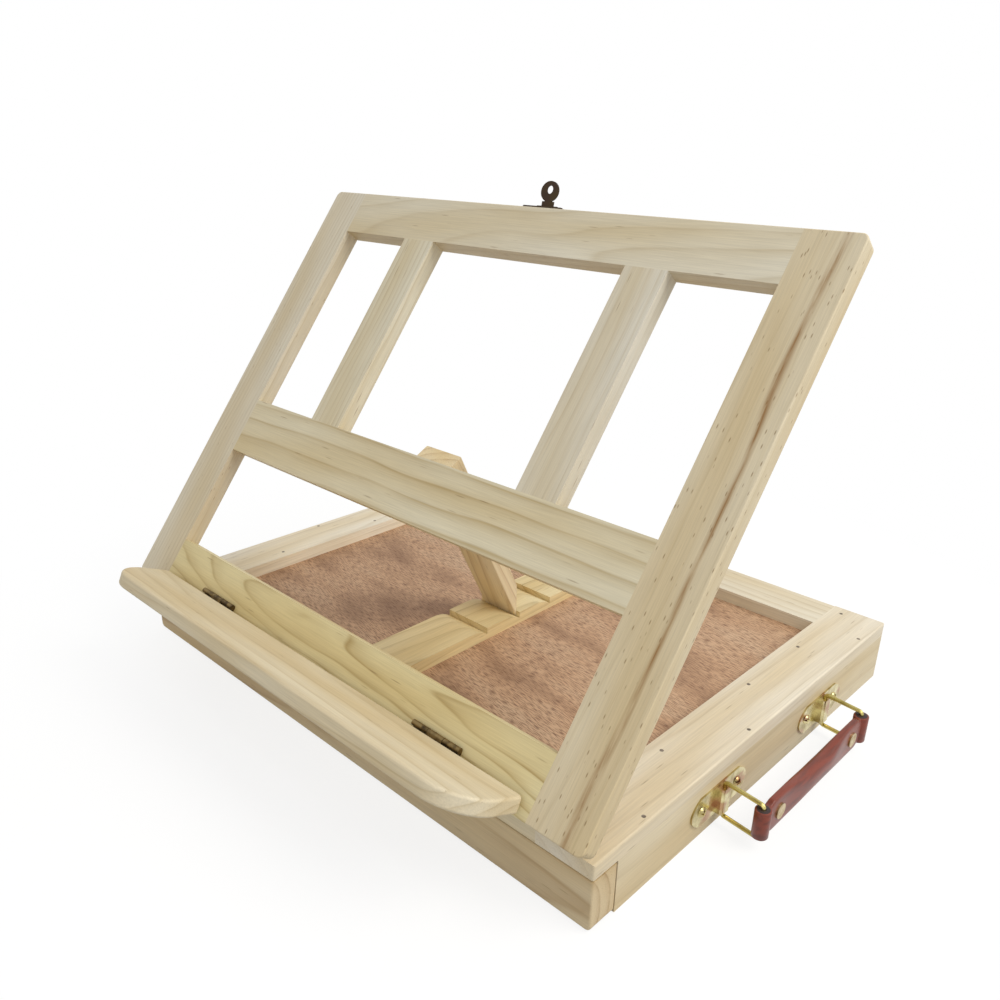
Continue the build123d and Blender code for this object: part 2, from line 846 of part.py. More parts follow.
with BuildPart() as ledge_hinge_frame_screws:
    for x in ledge_hinge_places:
        hinge_screws(shift(ledge_frame_leaf_plane, x), 1, ledge_hinge)
save("ledge_hinge_frame_screws", ledge_hinge_frame_screws)

with BuildPart() as ledge_hinge_ledge_screws:
    for x in ledge_hinge_places:
        hinge_screws(shift(ledge_leaf_plane, x), -1, ledge_hinge)
save("ledge_hinge_ledge_screws", ledge_hinge_ledge_screws)

# Prop: a leg whose foot is cut at a slant
with BuildPart() as prop_leg:
    with BuildSketch(across_pin(prop_plane, -prop_width / 2)):
        with BuildLine():
            Polyline(
                (prop_end_gap, prop_face),
                (prop_length, prop_face),
                (prop_length + foot_cut, prop_face + prop_thickness),
                (prop_end_gap, prop_face + prop_thickness),
                close=True,
            )
        make_face()
    extrude(amount=prop_width)
    long_edges = prop_leg.edges().filter_by(lambda e: e.length > prop_length / 2)
    fillet(long_edges, prop_edge_radius)
    hinge_seat(leg_leaf_plane, 1, prop_hinge)
save("prop_leg", prop_leg)

with BuildPart() as prop_hinge_rail_leaf:
    hinge_leaf(rail_leaf_plane, -1, prop_hinge, outer=True)
save("prop_hinge_rail_leaf", prop_hinge_rail_leaf)

with BuildPart() as prop_hinge_leg_leaf:
    hinge_leaf(leg_leaf_plane, 1, prop_hinge, outer=False)
save("prop_hinge_leg_leaf", prop_hinge_leg_leaf)

with BuildPart() as prop_hinge_pin:
    hinge_pin(rail_leaf_plane, prop_hinge)
save("prop_hinge_pin", prop_hinge_pin)

with BuildPart() as prop_hinge_rail_screws:
    hinge_screws(rail_leaf_plane, -1, prop_hinge)
save("prop_hinge_rail_screws", prop_hinge_rail_screws)

with BuildPart() as prop_hinge_leg_screws:
    hinge_screws(leg_leaf_plane, 1, prop_hinge)
save("prop_hinge_leg_screws", prop_hinge_leg_screws)

# Hasp on the end of the frame
hasp_across = Plane(origin=hasp_pin_point, x_dir=up_frame, z_dir=along_pin)
hasp_face = Plane(origin=hasp_pin_point, x_dir=along_pin, z_dir=out_of_hasp)

def lug(start, length, radius, foot):
    """A knuckle round the hasp's pin, with a foot that reaches down to the plate."""
    with BuildSketch(hasp_across.offset(start)) as knuckle:
        Circle(radius)
        if foot:
            with Locations((-radius / 2, 0)):
                Rectangle(radius, 2 * radius)
        Circle(hasp_pin_radius + pin_clearance, mode=Mode.SUBTRACT)
    extrude(knuckle.sketch, amount=length)


with BuildPart() as hasp_plate:
    with BuildSketch(hasp_end_plane):
        RectangleRounded(hasp_plate_length, hasp_plate_width, hasp_plate_round)
    extrude(amount=hasp_plate_thickness)
    lug_start = hasp_knuckle_length / 2 + knuckle_gap
    lug(lug_start, hasp_lug_length, hasp_knuckle_radius, True)
    lug(-lug_start - hasp_lug_length, hasp_lug_length, hasp_knuckle_radius, True)
    with BuildSketch(hasp_end_plane):
        with GridLocations(hasp_nail_spacing, 1, 2, 1):
            Circle(nail_radius + nail_clearance)
    extrude(amount=hasp_plate_thickness, mode=Mode.SUBTRACT)
save("hasp_plate", hasp_plate)

with BuildPart() as hasp_pin:
    with BuildSketch(hasp_across.offset(-lug_start - hasp_lug_length)):
        Circle(hasp_pin_radius)
    extrude(amount=2 * (lug_start + hasp_lug_length))
save("hasp_pin", hasp_pin)

with BuildPart() as hasp_nails:
    with BuildSketch(hasp_end_plane.offset(hasp_plate_thickness)):
        with GridLocations(hasp_nail_spacing, 1, 2, 1):
            Circle(nail_head_radius)
    extrude(amount=nail_head_thickness)
    with BuildSketch(hasp_end_plane.offset(hasp_plate_thickness)):
        with GridLocations(hasp_nail_spacing, 1, 2, 1):
            Circle(nail_radius)
    extrude(amount=-frame_thickness)
save("hasp_nails", hasp_nails)

with BuildPart() as hasp_lever:
    lug(-hasp_knuckle_length / 2, hasp_knuckle_length, hasp_lever_knuckle_radius, False)
    with BuildSketch(hasp_face.offset(-hasp_lever_thickness / 2)):
        with Locations((0, hasp_base_height / 2)):
            Rectangle(hasp_base_width, hasp_base_height)
        with Locations((0, hasp_ring_middle / 2)):
            Rectangle(hasp_neck_width, hasp_ring_middle)
        with Locations((0, hasp_ring_middle)):
            Ellipse(hasp_ring_width / 2, hasp_ring_height / 2)
        with BuildLine():
            Polyline(
                (-hasp_ring_width / 2, hasp_ring_middle),
                (-hasp_shoulder_width / 2, hasp_shoulder_height),
                (hasp_shoulder_width / 2, hasp_shoulder_height),
                (hasp_ring_width / 2, hasp_ring_middle),
                close=True,
            )
        make_face()
        with Locations((0, hasp_hole_middle)):
            Circle(hasp_hole_radius, mode=Mode.SUBTRACT)
    extrude(amount=hasp_lever_thickness)
    with BuildSketch(hasp_across.offset(-hasp_knuckle_length / 2)):
        Circle(hasp_pin_radius + pin_clearance)
    extrude(amount=hasp_knuckle_length, mode=Mode.SUBTRACT)
save("hasp_lever", hasp_lever)

with BuildPart() as hasp_catch:
    with BuildSketch(Plane.XZ.offset(-back)):
        with Locations((hasp_offset, catch_z - catch_plate_drop)):
            RectangleRounded(catch_plate_length, catch_plate_height, catch_plate_round)
        with Locations(*catch_nail_places):
            Circle(nail_radius + nail_clearance, mode=Mode.SUBTRACT)
    extrude(amount=-catch_plate_thickness)
    with BuildSketch(Plane.XZ.offset(-back - catch_plate_thickness)):
        with Locations((hasp_offset, catch_z)):
            Circle(catch_peg_radius)
    extrude(amount=-(catch_peg_length - catch_plate_thickness))
save("hasp_catch", hasp_catch)

with BuildPart() as hasp_catch_nails:
    catch_face = Plane.XZ.offset(-back - catch_plate_thickness)
    rounds(catch_face, catch_nail_places, catch_nail_radius, -nail_head_thickness)
    rounds(catch_face, catch_nail_places, nail_radius, catch_plate_thickness + catch_nail_length)
save("hasp_catch_nails", hasp_catch_nails)

# Handle: two pressed plates with raised bridges, two wire bails and a grip
with BuildPart() as handle_plates:
    for y in handle_places:
        with BuildSketch(Plane.YZ.offset(wall_face)):
            with Locations((y, handle_height)):
                Ellipse(handle_plate_length / 2, handle_plate_oval / 2)
                Rectangle(handle_plate_length, handle_plate_width, mode=Mode.INTERSECT)
                with GridLocations(handle_screw_spacing, 1, 2, 1):
                    Circle(handle_screw_radius + screw_clearance, mode=Mode.SUBTRACT)
        extrude(amount=handle_plate_thickness)
        with BuildSketch(Plane.XY.offset(handle_height - bridge_length / 2)) as bridge:
            with Locations(((wall_face + bridge_top) / 2, y)):
                Rectangle(bridge_top - wall_face, bridge_width)
            fillet(bridge.vertices().group_by(Axis.X)[-1], bridge_round)
        extrude(amount=bridge_length)
    with BuildSketch(Plane.XY.offset(handle_height - handle_plate_width / 2)):
        with Locations(*[(wire_in_x, y) for y in handle_places]):
            Circle(wire_radius + wire_play)
    extrude(amount=handle_plate_width, mode=Mode.SUBTRACT)
save("handle_plates", handle_plates)

with BuildPart() as handle_screws:
    plate_face = Plane.YZ.offset(wall_face + handle_plate_thickness)
    rounds(plate_face, handle_screw_places, handle_screw_head_radius, handle_screw_head_height)
    fillet(handle_screws.faces().group_by(Axis.X)[-1].edges(), handle_screw_dome_radius)
    rounds(plate_face, handle_screw_places, handle_screw_radius, -handle_screw_length)
save("handle_screws", handle_screws)

def bail(y):
    """A rectangular wire ring that runs through the bridge and through the grip's end."""
    ring_plane = Plane(
        origin=(wire_in_x, y, handle_height),
        x_dir=(cos(handle_turn), -sin(handle_turn), 0),
        z_dir=(-sin(handle_turn), -cos(handle_turn), 0),
    )
    with BuildSketch(ring_plane) as ring:
        with Locations((bail_reach / 2, 0)):
            RectangleRounded(bail_reach, bail_height, bail_corner_radius)
    path = ring.sketch.face().outer_wire()
    with BuildSketch(Plane(origin=path @ 0, z_dir=path % 0)) as wire:
        Circle(wire_radius)
    sweep(wire.sketch, path=path)

with BuildPart() as handle_front_bail:
    bail(handle_places[0])
save("handle_front_bail", handle_front_bail)

with BuildPart() as handle_rear_bail:
    bail(handle_places[1])
save("handle_rear_bail", handle_rear_bail)

grip_half = handle_spacing / 2
strap_half = grip_half - grip_strap_end
rivet_spots = [(side * (grip_half - rivet_inset), 0) for side in (-1, 1)]
end_top = grip_end_height / 2
strap_top = grip_strap_height / 2
middle_top = grip_middle_height / 2
strap_side = grip_strap_thickness / 2
middle_side = grip_middle_thickness / 2
grip_side = Plane(
    origin=(grip_x - middle_side, grip_middle_y, handle_height), x_dir=(0, 1, 0), z_dir=(1, 0, 0)
)
grip_below = Plane(
    origin=(grip_x, grip_middle_y, handle_height - strap_top), x_dir=(0, 1, 0), z_dir=(0, 0, 1)
)
strap_back = Plane(
    origin=(grip_x - strap_side, grip_middle_y, handle_height), x_dir=(0, 1, 0), z_dir=(1, 0, 0)
)

with BuildPart() as handle_grip:
    with BuildSketch(grip_side):
        with BuildLine():
            Line((0, middle_top), (grip_neck, middle_top))
            Spline((grip_neck, middle_top), (grip_flare, strap_top), tangents=[(1, 0), (1, 0)])
            Polyline(
                (grip_flare, strap_top),
                (strap_half, strap_top),
                (strap_half, end_top),
                (grip_half, end_top),
                (grip_half, 0),
            )
            mirror(about=Plane.YZ)
            mirror(about=Plane.XZ)
        make_face()
    extrude(amount=grip_middle_thickness)
    with BuildSketch(grip_below):
        with BuildLine():
            Line((0, middle_side), (grip_neck, middle_side))
            Spline((grip_neck, middle_side), (grip_flare, strap_side), tangents=[(1, 0), (1, 0)])
            Polyline((grip_flare, strap_side), (grip_half, strap_side), (grip_half, 0))
            mirror(about=Plane.YZ)
            mirror(about=Plane.XZ)
        make_face()
    extrude(amount=grip_strap_height, mode=Mode.INTERSECT)
    lengthwise = handle_grip.edges().filter_by(Axis.Z, reverse=True)
    fillet(lengthwise.filter_by(lambda e: e.length > grip_middle_thickness), grip_edge_radius)
    with BuildSketch(Plane.XY.offset(handle_height - end_top)):
        with Locations(*[(grip_x, y) for y in grip_ends]):
            Circle(grip_barrel_radius)
    extrude(amount=grip_end_height)
    with BuildSketch(Plane.XY.offset(handle_height - end_top)):
        with Locations(*[(grip_x, y) for y in grip_ends]):
            Circle(wire_radius + wire_play)
    extrude(amount=grip_end_height, mode=Mode.SUBTRACT)
    rounds(grip_side, rivet_spots, rivet_radius + screw_clearance, grip_middle_thickness, Mode.SUBTRACT)
save("handle_grip", handle_grip)

with BuildPart() as grip_rivets:
    rounds(strap_back, rivet_spots, rivet_head_radius, -rivet_head_height)
    rounds(strap_back, rivet_spots, rivet_radius, grip_strap_thickness)
    rounds(strap_back.offset(grip_strap_thickness), rivet_spots, rivet_head_radius, rivet_head_height)
save("grip_rivets", grip_rivets)
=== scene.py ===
"""A table box easel in pale pine: finishes, fine pieces, camera and studio."""
import json
from math import atan2, radians

import bmesh
import bpy
import numpy as np
from mathutils import Matrix, Vector


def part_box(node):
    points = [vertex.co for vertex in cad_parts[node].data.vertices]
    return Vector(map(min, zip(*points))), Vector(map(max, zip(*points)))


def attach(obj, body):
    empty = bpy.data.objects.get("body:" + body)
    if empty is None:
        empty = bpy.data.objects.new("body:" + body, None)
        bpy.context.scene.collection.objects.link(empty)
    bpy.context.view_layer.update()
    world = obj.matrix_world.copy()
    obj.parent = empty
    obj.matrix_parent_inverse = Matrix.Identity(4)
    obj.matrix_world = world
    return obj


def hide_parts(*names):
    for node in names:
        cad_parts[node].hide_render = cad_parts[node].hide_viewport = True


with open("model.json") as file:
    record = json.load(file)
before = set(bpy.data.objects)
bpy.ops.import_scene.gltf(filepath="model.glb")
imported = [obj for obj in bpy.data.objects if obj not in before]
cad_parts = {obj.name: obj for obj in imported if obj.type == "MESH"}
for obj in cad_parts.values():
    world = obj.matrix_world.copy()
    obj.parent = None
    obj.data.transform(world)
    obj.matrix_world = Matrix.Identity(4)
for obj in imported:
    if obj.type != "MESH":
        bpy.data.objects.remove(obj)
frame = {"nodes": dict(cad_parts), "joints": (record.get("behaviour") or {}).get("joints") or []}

bl_info = {
    "name": "Table Box Easel",
    "version": (1, 0, 0),
    "blender": (4, 5, 0),
    "location": "View3D > Sidebar > Easel",
    "description": "Finishes a table easel on a drawer box and sets up its studio",
    "category": "Object",
}

# One millimetre in metres
MM = 0.001
JOINTS = {joint["name"]: joint for joint in frame["joints"]}
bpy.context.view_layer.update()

# The frame's tilt is what is left up to upright, and the prop leans from its pin to its foot
FRAME_TILT = radians(90 - JOINTS["frame_tilt_hinge"]["range_deg"][1])
PROP_LOW, PROP_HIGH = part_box("prop_leg")
PROP_LEAN = -atan2(PROP_HIGH.z - PROP_LOW.z, PROP_HIGH.y - PROP_LOW.y)
LEDGE_TURN = FRAME_TILT - radians(JOINTS["ledge_fold"]["range_deg"][0])


def direction(angle):
    """The unit vector at this angle from the back, in the plane that the pins stand square to."""
    return Vector((0, np.cos(angle), np.sin(angle)))


ALONG_X = Vector((1, 0, 0))
ALONG_Y = Vector((0, 1, 0))
ALONG_Z = Vector((0, 0, 1))
UP_FRAME = direction(FRAME_TILT)
OUT_OF_FRAME = direction(FRAME_TILT + radians(90))
DOWN_PROP = direction(PROP_LEAN)
OUT_OF_PROP = direction(PROP_LEAN + radians(90))
INTO_LEDGE = direction(LEDGE_TURN + radians(90))


def linear(hex_colour):
    """An sRGB hex colour as linear red, green, blue and alpha."""
    channels = [int(hex_colour[i : i + 2], 16) / 255 for i in (1, 3, 5)]
    return [c / 12.92 if c <= 0.04045 else ((c + 0.055) / 1.055) ** 2.4 for c in channels] + [1.0]


def colour(name, hex_colour, description):
    """A colour setting that starts at this sRGB hex colour."""
    return bpy.props.FloatVectorProperty(
        name=name, default=linear(hex_colour), size=4, min=0, max=1, subtype="COLOR", description=description
    )


def length(name, millimetres, description):
    """A length setting that starts at this many millimetres."""
    return bpy.props.FloatProperty(
        name=name, default=millimetres * MM, unit="LENGTH", description=description
    )


def share(name, default, description):
    """A setting between none and all."""
    return bpy.props.FloatProperty(
        name=name, default=default, min=0, max=1, subtype="FACTOR", description=description
    )


def power(name, watts, description):
    """A lamp's power setting."""
    return bpy.props.FloatProperty(name=name, default=watts, unit="POWER", description=description)


class EaselWood(bpy.types.PropertyGroup):
    """Colours and grain sizes of the boards and the ply."""

    early_wood: colour("Early wood", "#E3D6B7", "The pale, wide part of each growth ring")
    late_wood: colour("Late wood", "#AD9255", "The darker line at the end of each growth ring")
    resin: colour("Resin", "#806238", "Short resin canals in the face of a board")
    heart: colour("Heart streak", "#8C6228", "The brown streak in the right stile")
    fibre_width: bpy.props.FloatProperty(
        name="Fibre width", default=0.7, min=0.2, max=4, description="Width of a wood fibre streak in mm"
    )
    ply_face: colour("Ply face", "#C9A381", "Face veneer of the ply panels")
    ply_dark: colour("Ply shade", "#A07C5E", "Darker drifts in the face veneer")
    ply_light: colour("Ply light", "#CFAE8E", "Paler drifts in the face veneer")
    ply_pore: colour("Ply pores", "#76523A", "Short dark pores of the face veneer")
    ply_pore_length: bpy.props.FloatProperty(
        name="Pore length", default=6.0, min=1, max=20, description="Length of a pore in the ply in mm"
    )


class EaselMetal(bpy.types.PropertyGroup):
    """Colours of the hinges, hasp and nails and of the handle's metal."""

    antique: colour("Antique brass", "#85714C", "Plating of the hinges")
    antique_worn: colour("Worn antique brass", "#4A3D2B", "Dark lacquer left in the plating")
    bronze: colour("Dark bronze", "#43362D", "Plating of the hasp")
    bright: colour("Bright brass", "#DED3A4", "Brass plating of the handle plates and screws")
    # Painted reflection, partly: the darker drifts in the brass plating also stand in for the reflections on
    # the plates
    bright_dark_and_painted_reflection: colour("Dark brass", "#A6955F", "Darker drifts in the brass plating")
    wire: colour("Brass wire", "#CFC27C", "Brass plating of the bails")
    # Painted reflection, partly: the darker drifts along the bails also stand in for their highlights and
    # shaded undersides
    wire_dark_and_painted_reflection: colour("Dark wire", "#A39350", "Darker drifts along the bails")
    bright_tint: colour("Brass tint", "#A9765A", "Pink tint where the plating is thin")
    nail: colour("Nail", "#94887A", "Punched nail heads")
    nail_dark: colour("Dark nail", "#665C50", "Darker drifts on the nail heads")
    rivet: colour("Rivet", "#CDBB93", "Rivets of the grip")
    rivet_dark: colour("Dark rivet", "#A8905C", "Darker drifts on the rivets")


class EaselGrip(bpy.types.PropertyGroup):
    """Colour, skin and shape of the handle's grip."""

    skin: colour("Skin", "#803621", "Smooth red-brown grip")
    skin_dark: colour("Dark skin", "#662A1A", "Darker drifts along the grip")
    tube: colour("Tube ends", "#2B1714", "Dark ends of the tubes in the grip's barrels")
    end_height: length("Barrel height", 16.8, "Height of the barrels at the grip's ends")
    strap_height: length("Strap height", 19.4, "Height of the flat ends")
    strap_thickness: length("Strap thickness", 4.6, "Thickness of the flat ends")
    waist_height: length("Waist height", 13.4, "Height of the rounded middle")
    waist_thickness: length("Waist thickness", 9.2, "Thickness of the rounded middle")
    barrel_radius: length("Barrel radius", 4.4, "Outer radius of the barrels")
    bore_radius: length("Bore radius", 1.4, "Radius of the barrels' bores")


class EaselScrews(bpy.types.PropertyGroup):
    """Shapes of the screw heads."""

    dome_height: length("Dome height", 1.9, "Height of a domed head at its middle")
    recess_width: share("Recess width", 0.27, "Width of a cross recess, in head radii")
    recess_length: share("Recess length", 0.62, "Half length of a cross recess, in head radii")
    recess_depth: share("Recess depth", 0.42, "Depth of a cross recess, in head radii")


class EaselStudio(bpy.types.PropertyGroup):
    """Camera, lamps and floor."""

    camera_place: bpy.props.FloatVectorProperty(
        name="Camera place",
        default=(0.37786, -0.40577, 0.33046),
        unit="LENGTH",
        description="Where the camera is",
    )
    camera_turn: bpy.props.FloatVectorProperty(
        name="Camera turn",
        default=(radians(66.347), radians(-0.901), radians(43.837)),
        subtype="EULER",
        description="How the camera is turned",
    )
    lens: bpy.props.FloatProperty(
        name="Lens", default=32.53, min=1, description="Focal length on a 36 mm sensor, in mm"
    )
    shift: bpy.props.FloatVectorProperty(
        name="Shift", size=2, default=(-0.0009, 0.0365), description="Shift of the picture, in widths"
    )
    key_power: power("Key power", 14.0, "Large soft lamp to the right and above")
    fill_power: power("Fill power", 3.0, "Soft lamp in front on the right")
    sky: bpy.props.FloatProperty(
        name="Sky", default=0.62, min=0, description="Strength of the light from all round"
    )
    shadow_start: length("Shadow start", 200, "Distance at which the floor's shadow begins to fade")
    shadow_end: length("Shadow end", 420, "Distance beyond which the floor is plain white")
    floor_white: share("Floor white", 0.80, "Share of the floor's white that shadows leave")


def node(tree, kind, inputs=None, stops=(), **settings):
    """Adds a node with its settings and its ramp's (place, colour) stops, and fills or links its inputs."""
    made = tree.nodes.new(kind)
    for key, value in settings.items():
        setattr(made, key, value)
    if stops:
        elements = made.color_ramp.elements
        while len(elements) < len(stops):
            # A new stop starts half way and gets its place below
            elements.new(0.5)
        for element, (place, tone) in zip(elements, stops):
            element.position = place
            element.color = tone
    for key, value in (inputs or {}).items():
        if isinstance(value, bpy.types.NodeSocket):
            tree.links.new(value, made.inputs[key])
        else:
            made.inputs[key].default_value = value
    return made


def grey(level):
    """A grey of this level, for ramps that carry a value."""
    return (level, level, level, 1.0)


def new_material(name):
    """A material with an empty node tree, and that tree."""
    made = bpy.data.materials.new(name)
    made.use_nodes = True
    made.node_tree.nodes.clear()
    return made, made.node_tree


def finish(made, tree, shader_inputs, bump_height=None, bump_mm=0):
    """Ends a material in one principled surface, with its bump in real millimetres."""
    if bump_height is not None:
        depth = {"Height": bump_height, "Distance": bump_mm * MM, "Strength": 1.0}
        bump = node(tree, "ShaderNodeBump", depth)
        shader_inputs["Normal"] = bump.outputs["Normal"]
    surface = node(tree, "ShaderNodeBsdfPrincipled", shader_inputs)
    node(tree, "ShaderNodeOutputMaterial", {"Surface": surface.outputs["BSDF"]})
    return made


def board_place(tree, along, face, centre):
    """Object coordinates in mm with X along the grain, Y across the face and Z through the board."""
    turn = Matrix((along, face.cross(along), face))
    place = node(
        tree,
        "ShaderNodeMapping",
        {
            "Vector": node(tree, "ShaderNodeTexCoord").outputs["Object"],
            "Scale": (1 / MM, 1 / MM, 1 / MM),
            "Rotation": turn.to_euler("XYZ"),
            "Location": -(turn @ Vector(centre)) / MM,
        },
    )
    return place.outputs["Vector"]


def counted_in(tree, place, size):
    """The board's coordinates counted in this size, in mm along, across and through the board."""
    counts = [1 / side for side in size]
    return node(tree, "ShaderNodeVectorMath", {0: place, 1: counts}, operation="MULTIPLY").outputs["Vector"]


def drifts(tree, place, size, detail=2.0, roughness=0.5):
    """Soft noise with about one blotch per this size in mm: its outputs."""
    inputs = {
        "Vector": counted_in(tree, place, size),
        "Scale": 1.0,
        "Detail": detail,
        "Roughness": roughness,
    }
    return node(tree, "ShaderNodeTexNoise", inputs).outputs


def layered(tree, base, layers):
    """The base colour under these (blend, share, colour) layers, each over the last."""
    for blend, part, over in layers:
        base = node(
            tree, "ShaderNodeMix", {"Factor": part, "A": base, "B": over}, data_type="RGBA", blend_type=blend
        ).outputs["Result"]
    return base


# Patterns of the pine in mm along the grain, across it and through the board: how the rings wander,
# how their lines fade, the board's broad patches, the flakes in the heart streak, and a fibre's
# length in its widths
RING_WANDER = (150, 34, 34)
RING_FADE = (90, 9, 9)
BROAD_PATCH = (130, 26, 26)
STREAK_FLAKE = (26, 2.2, 2.2)
FIBRE_WIDTHS_LONG = 40
# A resin canal is full brown inside this share of its radius
CANAL_CORE = 0.4
# How dark the wood is at these shares of one ring, from the pith outwards
RING_PROFILE = ((0.0, 0.15), (0.12, 0.0), (0.5, 0.10), (0.82, 0.5), (0.93, 1.0), (1.0, 0.15))


def ring_lines(tree, place, wobble, look):
    """How much late wood each point shows: the profile of its ring round the pith, faded in patches."""
    round_pith = node(
        tree,
        "ShaderNodeMapping",
        {
            "Vector": wobble,
            "Rotation": (0, radians(look["pitch"]), radians(look["yaw"])),
            "Location": (0, look["pith"][0], look["pith"][1]),
        },
    )
    # One saw-tooth per ring: Blender's ring wave repeats every pi / 10 at scale 1
    rings = node(
        tree,
        "ShaderNodeTexWave",
        {"Vector": round_pith.outputs["Vector"], "Scale": np.pi / 10 / look["ring"], "Distortion": 0.0},
        wave_type="RINGS",
        rings_direction="X",
        wave_profile="SAW",
    )
    profile = [(place_in_ring, grey(level)) for place_in_ring, level in RING_PROFILE]
    line = node(tree, "ShaderNodeValToRGB", {"Fac": rings.outputs["Fac"]}, profile)
    fade = node(
        tree,
        "ShaderNodeValToRGB",
        {"Fac": drifts(tree, place, RING_FADE)["Fac"]},
        ((0.3, grey(0.3)), (0.7, grey(1.0))),
    )
    seen = {0: line.outputs["Color"], 1: fade.outputs["Color"]}
    late = node(tree, "ShaderNodeMath", seen, operation="MULTIPLY").outputs["Value"]
    return node(tree, "ShaderNodeMath", {0: late, 1: look["contrast"]}, operation="MULTIPLY").outputs["Value"]


def heart_streak(tree, place, wobble, across, half):
    """How brown each point is: a line along the board, gone at half its width and broken into flakes."""
    parts = node(tree, "ShaderNodeSeparateXYZ", {"Vector": wobble})
    away = node(tree, "ShaderNodeMath", {0: parts.outputs["Y"], 1: across}, operation="SUBTRACT")
    away = node(tree, "ShaderNodeMath", {0: away.outputs["Value"]}, operation="ABSOLUTE").outputs["Value"]
    near = node(tree, "ShaderNodeMapRange", {"Value": away, "From Min": half, "From Max": 0.0})
    flakes = node(
        tree,
        "ShaderNodeValToRGB",
        {"Fac": drifts(tree, place, STREAK_FLAKE, detail=3.0)["Fac"]},
        ((0.34, grey(0.25)), (0.60, grey(0.95))),
    )
    seen = {0: near.outputs["Result"], 1: flakes.outputs["Color"]}
    return node(tree, "ShaderNodeMath", seen, operation="MULTIPLY").outputs["Value"]


def planed_pine(name, along, face, centre, look):
    """Radiata pine, sawn and planed, with a thin clear lacquer.

    The rings are cylinders round a pith outside the board, so the eye sees fine lines on a face
    cut close to square across them and wide flames on a face cut along them. Late wood is darker
    and a little glossier. Fibres and short brown resin canals run along the board. Both are too
    fine to show in the render, so they are drawn as coarse as they need to show.
    """
    wood = bpy.context.scene.easel_wood
    made, tree = new_material(name)
    place = board_place(tree, along, face, centre)
    wobble = node(
        tree,
        "ShaderNodeVectorMath",
        {0: drifts(tree, place, RING_WANDER)["Color"], 1: (0, look["wobble"], look["wobble"]), 2: place},
        operation="MULTIPLY_ADD",
    ).outputs["Vector"]
    late = ring_lines(tree, place, wobble, look)

    width = wood.fibre_width
    size = (FIBRE_WIDTHS_LONG * width, width, width)
    fibre = drifts(tree, place, size, detail=3.0, roughness=0.6)["Fac"]
    fibre_tone = node(tree, "ShaderNodeValToRGB", {"Fac": fibre}, ((0.25, grey(0.87)), (0.75, grey(1.06))))
    patch = node(
        tree,
        "ShaderNodeValToRGB",
        {"Fac": drifts(tree, place, BROAD_PATCH, detail=1.0)["Fac"]},
        ((0.3, linear("#F1E7D2")), (0.7, linear("#FFFFFF"))),
    )
    # One resin canal per cell, seen where the face cuts close to the cell's point
    long, wide = look["cell"]
    cells = counted_in(tree, place, (long, wide, wide))
    spots = node(tree, "ShaderNodeTexVoronoi", {"Vector": cells, "Scale": 1.0})
    canal = node(
        tree,
        "ShaderNodeMapRange",
        {
            "Value": spots.outputs["Distance"],
            "From Min": look["canals"],
            "From Max": look["canals"] * CANAL_CORE,
            "To Max": look["canal_tone"],
        },
    )
    layers = [
        ("MIX", late, linear(look["late"]) if "late" in look else wood.late_wood),
        ("MULTIPLY", 1.0, fibre_tone.outputs["Color"]),
        ("MULTIPLY", 1.0, patch.outputs["Color"]),
        ("MIX", canal.outputs["Result"], wood.resin),
    ]
    if "streak" in look:
        layers.append(("MIX", heart_streak(tree, place, wobble, *look["streak"]), wood.heart))
    base = layered(tree, linear(look["early"]) if "early" in look else wood.early_wood, layers)
    rough = node(tree, "ShaderNodeMapRange", {"Value": late, "To Min": 0.58, "To Max": 0.46})
    shader_inputs = {"Base Color": base, "Roughness": rough.outputs["Result"], "IOR": 1.5}
    return finish(made, tree, shader_inputs, fibre, bump_mm=0.03)


# The way that the ply's veneer runs, the width of its pores and its broad drifts, in mm
VENEER_RUN = Vector((0.99, -0.14, 0)).normalized()
VENEER_PORE_WIDTH = 0.5
VENEER_DRIFT = (90, 30, 30)


def rotary_ply(name, centre):
    """Thin hardwood ply, its face veneer peeled off a turning log.

    The eye sees a dull reddish face with broad drifts and short dark pores, all along one way.
    Real pores are a tenth of a millimetre wide, and are drawn as coarse as they need to show.
    """
    wood = bpy.context.scene.easel_wood
    made, tree = new_material(name)
    place = board_place(tree, VENEER_RUN, ALONG_Z, centre)
    size = (wood.ply_pore_length, VENEER_PORE_WIDTH, VENEER_PORE_WIDTH)
    pores = drifts(tree, place, size, detail=1.0)["Fac"]
    pore = node(tree, "ShaderNodeValToRGB", {"Fac": pores}, ((0.38, grey(0.8)), (0.52, grey(0.0))))
    face = node(
        tree,
        "ShaderNodeValToRGB",
        {"Fac": drifts(tree, place, VENEER_DRIFT)["Fac"]},
        ((0.32, wood.ply_dark), (0.5, wood.ply_face), (0.68, wood.ply_light)),
    )
    base = layered(tree, face.outputs["Color"], [("MIX", pore.outputs["Color"], wood.ply_pore)])
    return finish(made, tree, {"Base Color": base, "Roughness": 0.62, "IOR": 1.5}, pores, bump_mm=0.05)


# Width in mm of the ripple left in the steel by rolling, drawn coarse enough to show
STEEL_RIPPLE = 0.8


